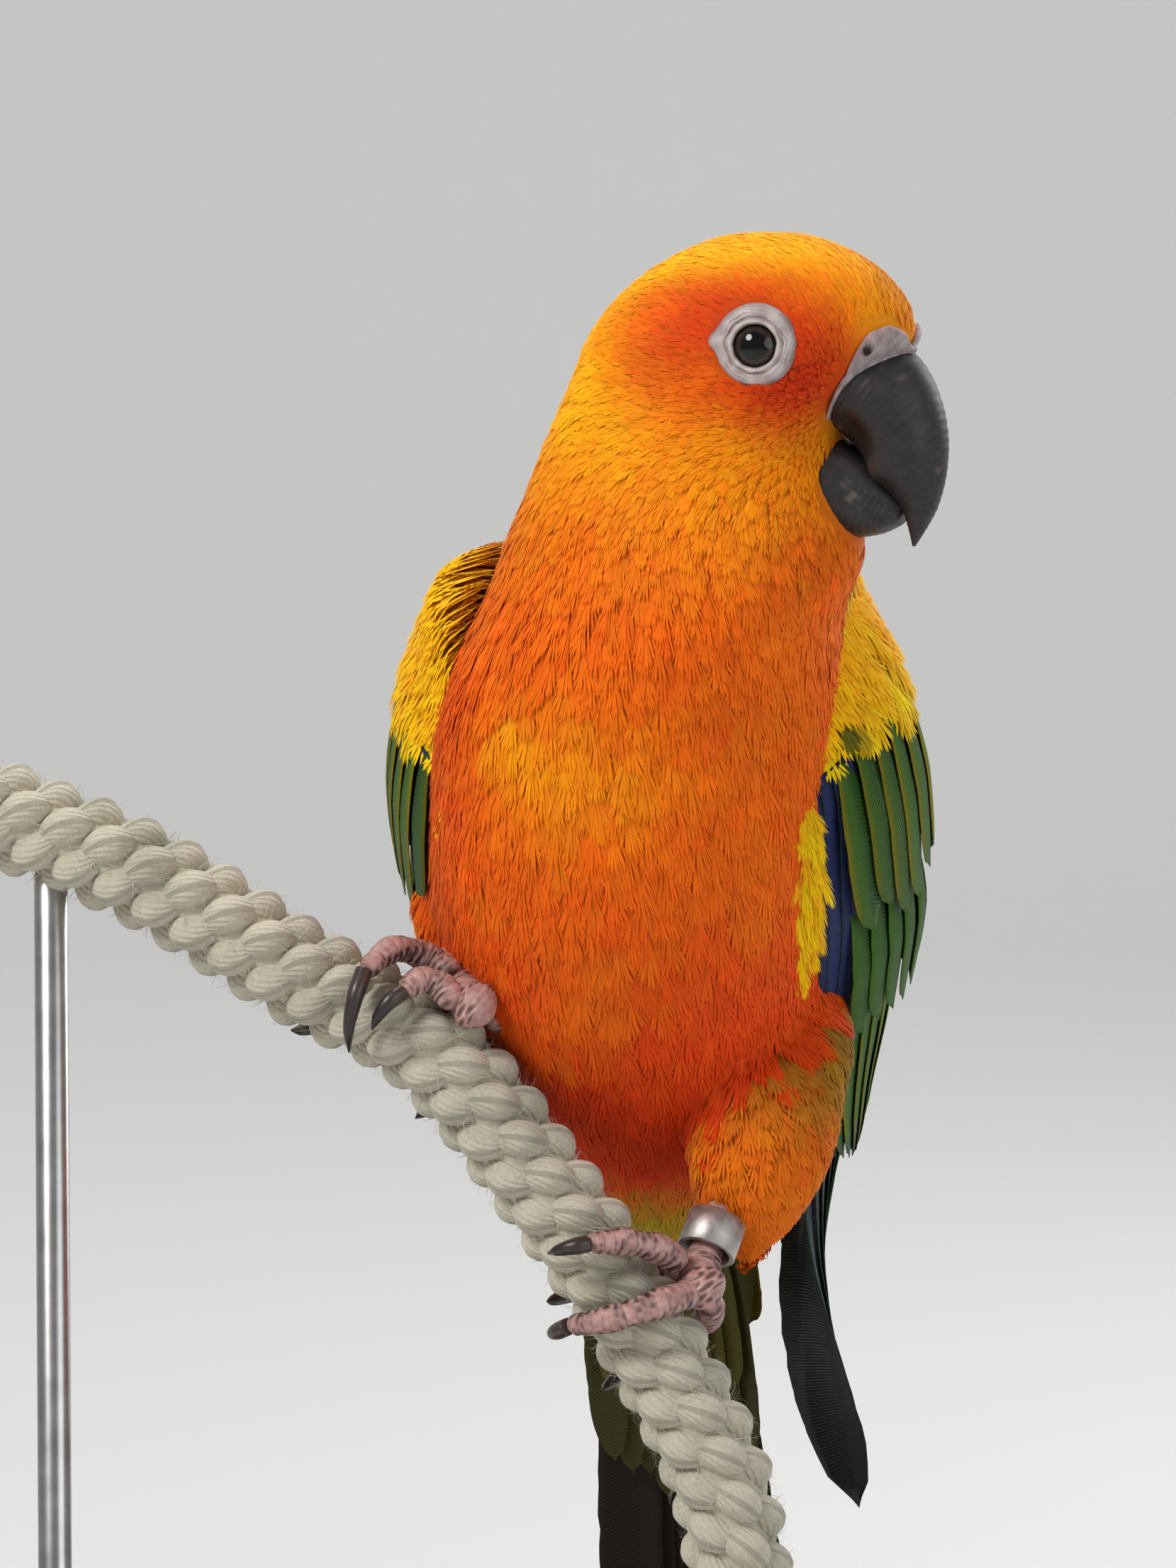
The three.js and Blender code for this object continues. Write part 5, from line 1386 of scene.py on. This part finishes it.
class Limb:
    """Round limb along a path; the first point of each ring is on its upper side."""

    def __init__(self, points, radii, rings, sides, top):
        path = Path(points)
        self.along, self.length, self.angle = np.linspace(0, path.length, rings), path.length, circle(sides)
        self.centre, tangent = path.at(self.along), path.along(self.along)
        upward = np.tile(top, (rings, 1)) if np.ndim(top) == 1 else top(self.centre)
        self.upper = unit(upward - (upward * tangent).sum(-1, keepdims=True) * tangent)
        self.beside = np.cross(tangent, self.upper)
        self.radius = np.interp(self.along / path.length, np.linspace(0, 1, len(radii)), radii)

    def rings(self, reach, widen):
        high, wide = np.cos(self.angle)[None, :, None], widen * np.sin(self.angle)[None, :, None]
        return self.centre[:, None] + reach[..., None] * (high * self.upper[:, None] + wide * self.beside[:, None])


def scaled_limb(name, points, radii, top, seed, replaces=(), rings=90, sides=30, plates=True):
    """Toe or shank with broad plates along its upper side and small round scales below."""
    limb = Limb(points, radii, rings, sides, top)
    s, angle, radius = limb.along, limb.angle, limb.radius
    f = s[:, None] / PLATE_LENGTH + 0.12 * np.cos(angle)[None, :]
    upper = ease(0.15, 0.6, np.cos(angle))[None, :] * (1.0 if plates else 0.0)
    across = angle[None, :] * 3
    ridge = np.abs(np.sin(math.pi * f)) ** 0.6
    shifted = across + math.pi / 2 * np.floor(f * 1.5)
    beads = np.abs(np.sin(math.pi * f * 1.5)) ** 0.7 * np.abs(np.sin(shifted)) ** 0.7
    relief = upper * ridge * 0.11 + (1 - upper) * beads * 0.12 - 0.06
    swell = radius[:, None] * np.where(np.cos(angle) < 0, 0.96, 1.0)[None, :] + relief
    ends = 1.0
    for gone, end in ((s, radius[0]), (limb.length - s, radius[-1])):
        ends = ends * np.sqrt(np.clip(1 - (np.clip(1 - gone / end / 0.9, 0, 1)) ** 2, 0, 1))
    points_out, faces = capped(limb.rings(swell * np.maximum(ends, 0.12)[:, None], 1.0))
    cell = np.sin(np.floor(f) * 12.9898 + np.floor(across / math.pi) * 78.233 + seed) * 43758.5453
    luck = cell - np.floor(cell)
    row_phase = np.abs(f - np.floor(f) - 0.5) * PLATE_LENGTH
    side_spot = bell(row_phase, 0, 0.26) * bell(np.abs(np.sin(angle))[None, :], 0.93, 0.22) * (0.6 + 0.4 * luck)
    granule = ease(0.25, 0.75, beads) * (luck > 0.5)
    # Darker in the grooves between the upper plates: painted shade; the side spots and granules are the skin's own
    # dark scales
    dark = 0.35 * upper * ease(0.4, 0.8, 1 - ridge) + 1.3 * side_spot * plates + 0.8 * granule * (1 - 0.5 * upper)
    dark = np.clip(dark + 0.35 * upper * (luck > 0.7) * ridge, 0, 1)
    tint = mix(PINK * mix(0.85, 1.12, luck)[..., None], DARK_SCALE, dark[..., None]).reshape(-1, 3)
    uv = np.stack([np.tile(angle / 6.3 * 0.2 + 0.1, rings), np.repeat(s / 40, sides)], -1)
    mesh_piece(name, points_out, faces, SCALED_SKIN, uv=np.vstack([uv, uv[:1], uv[-1:]]),
               tint=np.vstack([tint, PINK[None], PINK[None]]), replaces=replaces)


def claw_piece(name, points, replaces):
    limb = Limb(points, [1.2, 1.22, 1.0, 0.72, 0.12], 40, 24, from_rope)
    keel = 1 + 0.12 * np.cos(limb.angle)[None, :]
    points_out, faces = capped(limb.rings(limb.radius[:, None] * keel, 0.85))
    f = np.repeat(limb.along / limb.length, len(limb.angle))
    fibre = 1 + 0.18 * np.sin(np.tile(limb.angle, len(limb.along)) * 9 + f * 3)
    tint = mix(srgb(70, 58, 54), srgb(44, 36, 36), ease(0.1, 0.7, f)[:, None]) * fibre[:, None]
    mesh_piece(name, points_out, faces, CLAW_HORN, uv=skin_unwrap(points_out),
               tint=np.vstack([tint, tint[:1], tint[-1:]]), replaces=replaces)


def from_rope(points):
    """Way to points from the nearest ones on the rope's centre line."""
    line = ROPE.points[::6]
    return points - line[np.argmin(((points[:, None] - line[None]) ** 2).sum(-1), axis=1)]


def foot_pieces(name, foot, seed):
    at = float(np.interp(foot["at"], ROPE.points[:, 0], ROPE.reach))
    along, angle, out = foot["palm"]
    palm = rope_place(at + along, angle, out)
    away = unit(from_rope(palm[None])[0])
    shank = [palm - away * 0.6, *[np.array(p, float) for p in foot["tarsus"]]]
    scaled_limb(f"foot_{name}_shank", shank, [2.9, 2.1, 1.85, 1.9, 2.0], np.array([0, -1.0, 0.2]), seed,
                replaces=(f"foot_{name}",), rings=110)
    ball = [palm + unit(ROPE.along(at)) * step for step in (-2.6, 0, 2.6)]
    scaled_limb(f"foot_{name}_palm", ball, [2.1, 3.1, 2.1], away, seed + 1, plates=False, rings=60, sides=40)
    for number, (toe, claw) in enumerate(zip(foot["toes"], foot["claws"]), 1):
        line = [rope_place(at + d, a, TOE_CENTRE) for d, a in toe]
        scaled_limb(f"toe_{name}_{number}_scales", line, [2.0, 1.7, 1.85, 1.5, 1.68, 1.35, 1.3], from_rope,
                    seed + 7 * number, replaces=(f"toe_{name}_{number}",))
        hook = [rope_place(at + d, a, TOE_CENTRE + lift) for (d, a), lift in zip((toe[3], *claw), CLAW_LIFTS)]
        claw_piece(f"claw_{name}_{number}_hook", hook, (f"claw_{name}_{number}",))


foot_pieces("left", FEET["left"], 40)
foot_pieces("right", FEET["right"], 140)


def lathe(profile, sides, centre, axis, reference):
    """Rings of a turned piece from radius and height pairs."""
    axis = unit(np.asarray(axis, float))
    a = unit(np.cross(reference, axis))
    b = np.cross(axis, a)
    turn = circle(sides)[:, None]
    return np.array([centre + axis * h + r * (np.cos(turn) * a + np.sin(turn) * b) for r, h in profile])


def leg_ring():
    low, high = (np.array(p, float) for p in FEET["left"]["tarsus"][:2])
    half, outer, inner, soft, sides = 2.3, 3.5, 2.9, 0.14, 72
    profile = [(inner + soft, -half), (outer - soft, -half), (outer, -half + soft), (outer, half - soft),
               (outer - soft, half), (inner + soft, half), (inner, half - soft), (inner, -half + soft)]
    points = lathe(profile, sides, mix(low, high, 0.45), high - low, [0, 1.0, 0]).reshape(-1, 3)
    last, j = (len(profile) - 1) * sides, np.arange(sides)
    k = (j + 1) % sides
    faces = np.vstack([grid_faces(len(profile), sides), np.stack([last + j, last + k, k, j], -1)])[:, ::-1]
    mesh_piece("leg_band", points, [faces], RING_METAL, uv=skin_unwrap(points),
               replaces=("leg_ring",))


RING_METAL = grained("ring metal", (0.34, 0.32, 0.31), (0.58, 0.55, 0.54), 0.5, 700, 0.3, 0.00005, metal=1.0)
ROD_METAL = grained("brushed rod", (0.40, 0.40, 0.41), (0.52, 0.52, 0.52), 0.3, 300, 0.15, 0.00003, metal=1.0)
leg_ring()


# Rope strands

def rope_path_object():
    curve = bpy.data.curves.new("rope_line", "CURVE")
    curve.dimensions = "3D"
    spline = curve.splines.new("POLY")
    line = ROPE.points[::4]
    spline.points.add(len(line) - 1)
    for point, place in zip(spline.points, to_frame(line)):
        point.co = (*place, 1)
    return add_object("rope_line", curve)


def strand_object():
    """One plump strand as it shows between two crossings, with its yarns' phase as an attribute."""
    rings, sides = 15, 18
    long, wide, high = STRAND_HALF
    f = np.linspace(-1, 1, rings)
    angle = circle(sides)
    rows = []
    for g, r in zip(f, np.maximum(np.sqrt(np.clip(1 - np.abs(f) ** 2.1, 0.0, 1)), 0.12)):
        yarn = 1 + 0.025 * np.cos(angle * 6 + g * 3.2)
        rows.append(np.stack([np.full(sides, long * g), wide * r * yarn * np.sin(angle),
                              high * r * yarn * np.cos(angle) - 1.5 * g * g], -1))
    points, faces = capped(rows)
    mesh = plain_mesh("strand", points * MM, faces)
    phase = np.append(np.tile(angle, rings) * 18 + np.repeat(f, sides) * 9, [0, 0])
    colour_layer(mesh, "barbs", phase[:, None])
    return add_object("strand", mesh)


def cotton_material():
    material, tree, bsdf = new_material("cotton strand")
    place = put(tree, "ShaderNodeTexCoord")["Object"]
    fibre, cloud = (put(tree, "ShaderNodeTexNoise", {"Vector": place, "Scale": scale, "Detail": detail})["Fac"]
                    for scale, detail in ((2600.0, 5.0), (90.0, 3.0)))
    wave = maths(tree, "COSINE", barb_phase(tree))
    tone = mixed(tree, fibre, opaque(srgb(172, 166, 148)), opaque(srgb(216, 209, 190)))
    # Grey-green patches in random clouds: painted shade, in the tint of the rope's shaded parts
    painted_shade_patches = ranged(tree, cloud, 0.5, 0.75, 0.0, 0.7)
    relief = maths(tree, "MULTIPLY_ADD", wave, 0.5, fibre)
    feed(tree, bsdf, {"Base Color": mixed(tree, painted_shade_patches, tone, opaque(srgb(140, 142, 124))),
                      "Normal": bumped(tree, relief, 0.6, 0.0002), "Roughness": 0.95, "Sheen Weight": 0.25})
    return material


def strand_tree(path, strand, material):
    """Strands set in columns round a path, each column off by half a pitch."""
    tree = bpy.data.node_groups.new("rope strands", "GeometryNodeTree")
    tree.interface.new_socket("Geometry", in_out="OUTPUT", socket_type="NodeSocketGeometry")
    sizes = {}
    for label, kind, value in (("Columns", "Int", ROPE_COLUMNS), ("Pitch", "Float", ROPE_PITCH * MM),
                               ("Reach", "Float", STRAND_REACH * MM), ("Slant", "Float", STRAND_SLANT)):
        socket = tree.interface.new_socket(label, in_out="INPUT", socket_type="NodeSocket" + kind)
        socket.default_value = value
        sizes[socket.identifier] = value

    def number(operation, *values):
        return maths(tree, operation, *values)

    def vector(operation, a, b):
        second = "Scale" if operation == "SCALE" else 1
        return put(tree, "ShaderNodeVectorMath", {0: a, second: b}, operation=operation)["Vector"]

    start = put(tree, "NodeGroupInput")
    line, piece = (put(tree, "GeometryNodeObjectInfo", {"Object": item})["Geometry"] for item in (path, strand))
    length = put(tree, "GeometryNodeCurveLength", {"Curve": line})["Length"]
    rows = number("FLOOR", number("DIVIDE", length, start["Pitch"]))
    dots = put(tree, "GeometryNodeMeshLine", {"Count": number("MULTIPLY", rows, start["Columns"])})["Mesh"]
    index = put(tree, "GeometryNodeInputIndex")["Index"]
    column = number("MODULO", index, start["Columns"])
    row = number("FLOOR", number("DIVIDE", index, start["Columns"]))
    half = number("MULTIPLY", number("MODULO", column, 2.0), 0.5)
    distance = number("MULTIPLY", number("ADD", number("ADD", row, half), 0.3), start["Pitch"])
    sample = put(tree, "GeometryNodeSampleCurve", {"Curves": line, "Length": distance}, mode="LENGTH")
    turn = number("MULTIPLY", number("DIVIDE", column, start["Columns"]), 2 * math.pi)
    toward = put(tree, "ShaderNodeCombineXYZ", {"Y": -1.0})["Vector"]
    upper = vector("CROSS_PRODUCT", toward, sample["Tangent"])
    out = vector("ADD", vector("SCALE", upper, number("COSINE", turn)),
                 vector("SCALE", toward, number("SINE", turn)))
    spot = vector("ADD", sample["Position"], vector("SCALE", out, start["Reach"]))
    places = put(tree, "GeometryNodeSetPosition", {"Geometry": dots, "Position": spot})["Geometry"]
    facing = put(tree, "FunctionNodeAlignRotationToVector", {"Vector": out}, axis="Z")["Rotation"]
    facing = put(tree, "FunctionNodeAlignRotationToVector", {"Rotation": facing, "Vector": sample["Tangent"]},
                 axis="X", pivot_axis="Z")["Rotation"]
    wobble = put(tree, "FunctionNodeRandomValue", {"Min": -0.08, "Max": 0.08, "Seed": 5}, data_type="FLOAT")[1]
    slant = put(tree, "FunctionNodeAxisAngleToRotation",
                {"Axis": (0, 0, 1), "Angle": number("ADD", start["Slant"], wobble)})["Rotation"]
    facing = put(tree, "FunctionNodeRotateRotation", {"Rotation": facing, "Rotate By": slant},
                 rotation_space="LOCAL")["Rotation"]
    strands = put(tree, "GeometryNodeInstanceOnPoints",
                  {"Points": places, "Instance": piece, "Rotation": facing})["Instances"]
    real = put(tree, "GeometryNodeRealizeInstances", {"Geometry": strands})["Geometry"]
    paint = put(tree, "GeometryNodeSetMaterial", {"Geometry": real, "Material": material})["Geometry"]
    put(tree, "NodeGroupOutput", {"Geometry": paint})
    return tree, sizes


def rope_fuzz(cotton):
    """Loose cotton fibres that stand out of the strands."""
    random = np.random.default_rng(12)
    points, faces = [], []
    for _ in range(3200):
        distance, angle = random.uniform(2, ROPE.length - 2), random.uniform(0, 360)
        root = rope_place(distance, angle, ROPE_SURFACE)
        out = unit(root - rope_place(distance, angle, 0))
        along = ROPE.along(distance) * random.choice([-1, 1])
        way = unit(along * random.uniform(0.2, 1) + np.cross(out, along) * random.normal(0, 0.7))
        side = np.cross(way, out) * 0.03
        long, high = random.uniform(1.2, 3.4), random.uniform(0.5, 1.5)
        first = len(points)
        for g in (0, 0.35, 0.7, 1):
            spot = root + way * long * g + out * high * math.sin(g * 2.4)
            points += [spot - side * (1.1 - g), spot + side * (1.1 - g)]
        faces += [(first + k, first + k + 1, first + k + 3, first + k + 2) for k in (0, 2, 4)]
    points = np.array(points)
    mesh_piece("rope_fibres", points, [np.array(faces)], cotton, barbs=0 * points)


def rope_pieces():
    cotton = cotton_material()
    path, strand = rope_path_object(), strand_object()
    holder = add_object("rope_holder", bpy.data.meshes.new("holder"))
    modifier = holder.modifiers.new("strands", "NODES")
    modifier.node_group, sizes = strand_tree(path, strand, cotton)
    for identifier, value in sizes.items():
        modifier[identifier] = value
    made = bpy.data.meshes.new_from_object(holder.evaluated_get(bpy.context.evaluated_depsgraph_get()))
    made.name = "rope_strands"
    made.polygons.foreach_set("use_smooth", [True] * len(made.polygons))
    for leftover in (holder, path, strand):
        bpy.data.objects.remove(leftover)
    dress(add_object("rope_strands", made), ("perch_rope",))
    # Core that closes the gaps between the strands
    points, faces = capped([[rope_place(d, a, ROPE_CORE) for a in np.arange(0, 360, 20)]
                            for d in np.linspace(0.6, ROPE.length - 0.6, 80)])
    mesh_piece("rope_core", points, faces, cotton, barbs=0 * points)
    rope_fuzz(cotton)


rope_pieces()


# Display stand

STAND_CENTRE = np.array([-18.0, 33.0, -187.0])
BASE_RADIUS, BASE_HEIGHT, ROD_RADIUS = 80.0, 14.0, 2.0
# Where the rods stand across, and the level at which the right one ends
LEFT_ROD, RIGHT_ROD, RIGHT_TOP = -69.0, 14.6, -103.2


def wood_material():
    material, tree, bsdf = new_material("dark stained wood")
    place = put(tree, "ShaderNodeMapping", {"Vector": put(tree, "ShaderNodeTexCoord")["Object"],
                                            "Scale": (14.0, 220.0, 220.0)})["Vector"]
    grain = put(tree, "ShaderNodeTexNoise", {"Vector": place, "Scale": 1.0, "Detail": 6.0, "Distortion": 0.6})["Fac"]
    feed(tree, bsdf, {"Base Color": mixed(tree, grain, opaque(srgb(54, 34, 22)), opaque(srgb(104, 68, 44))),
                      "Roughness": ranged(tree, grain, 0.0, 1.0, 0.32, 0.5), "Coat Weight": 0.2})
    return material


def stand_pieces():
    r, h = BASE_RADIUS, BASE_HEIGHT
    disc = [(r - 1.2, 0.0), (r - 0.2, 0.3), (r, 1.2), (r, h - 5), (r - 0.4, h - 3.4), (r - 1.4, h - 2.0),
            (r - 3, h - 0.8), (r - 5, h), (r - 30, h)]
    points, faces = capped(lathe(disc, 160, STAND_CENTRE, UP, [0, 1.0, 0]))
    mesh_piece("stand_disc", points, faces, wood_material(), replaces=("stand_base",))
    low = STAND_CENTRE[2] + BASE_HEIGHT
    under_rope = float(np.interp(LEFT_ROD, ROPE.points[:, 0], ROPE.points[:, 2])) - 4.5
    for name, x, top in (("left", LEFT_ROD, under_rope), ("right", RIGHT_ROD, RIGHT_TOP)):
        high = top - low
        post = [(3.4, 0.1), (4.0, 0.3), (4.0, 1.6), (3.5, 2.1), (2.3, 2.4), (ROD_RADIUS, 3.0),
                (ROD_RADIUS, high - 0.3), (ROD_RADIUS - 0.3, high)]
        points, faces = capped(lathe(post, 40, np.array([x, ROPE_Y, low]), UP, [0, 1.0, 0]))
        mesh_piece(f"stand_post_{name}", points, faces, ROD_METAL, replaces=(f"stand_rod_{name}",))


stand_pieces()


# Stage, light and camera

def stage_floor():
    """Pale round floor that curves up into a wall all the way round."""
    flat, bend, rise, sides = 1.5, 0.7, 2.4, 96
    curve = [math.pi / 2 * k / 12 for k in range(1, 13)]
    profile = [(0.001, 0.0), (0.4, 0.0), (flat, 0.0)]
    profile += [(flat + bend * math.sin(a), bend * (1 - math.cos(a))) for a in curve]
    profile.append((flat + bend, rise))
    points = np.array([[(r * math.cos(a), r * math.sin(a), z) for a in circle(sides)] for r, z in profile])
    mesh = plain_mesh("floor", points.reshape(-1, 3), [grid_faces(len(profile), sides)])
    paint, tree, bsdf = new_material("pale floor")
    feed(tree, bsdf, {"Base Color": (0.66, 0.66, 0.655, 1), "Roughness": 0.9})
    mesh.materials.append(paint)
    add_object("floor", mesh)


def aim(item, place, way):
    item.location = place
    item.rotation_mode = "QUATERNION"
    item.rotation_quaternion = way.to_track_quat("-Z", "Y")


def area_light(name, place, target, size, power, colour=(1, 1, 1)):
    light = bpy.data.lights.new(name, "AREA")
    light.shape, light.size, light.energy, light.color = "DISK", size, power, colour
    lamp = add_object(name, light)
    aim(lamp, place, Vector(target) - Vector(place))


stage_floor()
bird_middle = (0.012, -0.033, 0.19)
area_light("key light", (-0.55, -0.75, 0.95), bird_middle, 0.5, 10, (1.0, 0.97, 0.92))
area_light("fill light", (0.9, -0.55, 0.45), bird_middle, 0.8, 2.8, (0.94, 0.97, 1.0))
area_light("top light", (0.1, 0.25, 1.1), bird_middle, 0.6, 3.5)
area_light("rim light", (0.55, 0.75, 0.55), bird_middle, 0.5, 3)
area_light("backdrop light", (-0.2, 0.9, 1.9), (-0.2, 2.1, 0.5), 0.8, 16)

world = bpy.data.worlds.new("soft surround")
world.use_nodes = True
world.node_tree.nodes["Background"].inputs["Color"].default_value = (0.78, 0.80, 0.83, 1)
world.node_tree.nodes["Background"].inputs["Strength"].default_value = 0.3
bpy.context.scene.world = world
bpy.context.scene.view_settings.view_transform = "Standard"

# The photograph's view: 10 degrees to the bird's left, 5 degrees above, twelve pixels a millimetre
VIEW_TARGET = Vector((0.012, -0.033, 0.187))
VIEW_AZIMUTH, VIEW_ELEVATION, VIEW_DISTANCE = math.radians(10), math.radians(5), 0.9
PHOTO_HEIGHT_PIXELS, PIXELS_PER_METRE = 2212, 12000
level = math.cos(VIEW_ELEVATION)
away = Vector((math.sin(VIEW_AZIMUTH) * level, -math.cos(VIEW_AZIMUTH) * level, math.sin(VIEW_ELEVATION)))
lens = bpy.data.cameras.new("camera")
lens.sensor_fit, lens.sensor_width = "AUTO", 36
lens.lens = 36 * VIEW_DISTANCE / (PHOTO_HEIGHT_PIXELS / PIXELS_PER_METRE)
lens.clip_start, lens.clip_end = 0.01, 20
camera = add_object("camera", lens)
aim(camera, VIEW_TARGET + away * VIEW_DISTANCE, -away)
bpy.context.scene.camera = camera
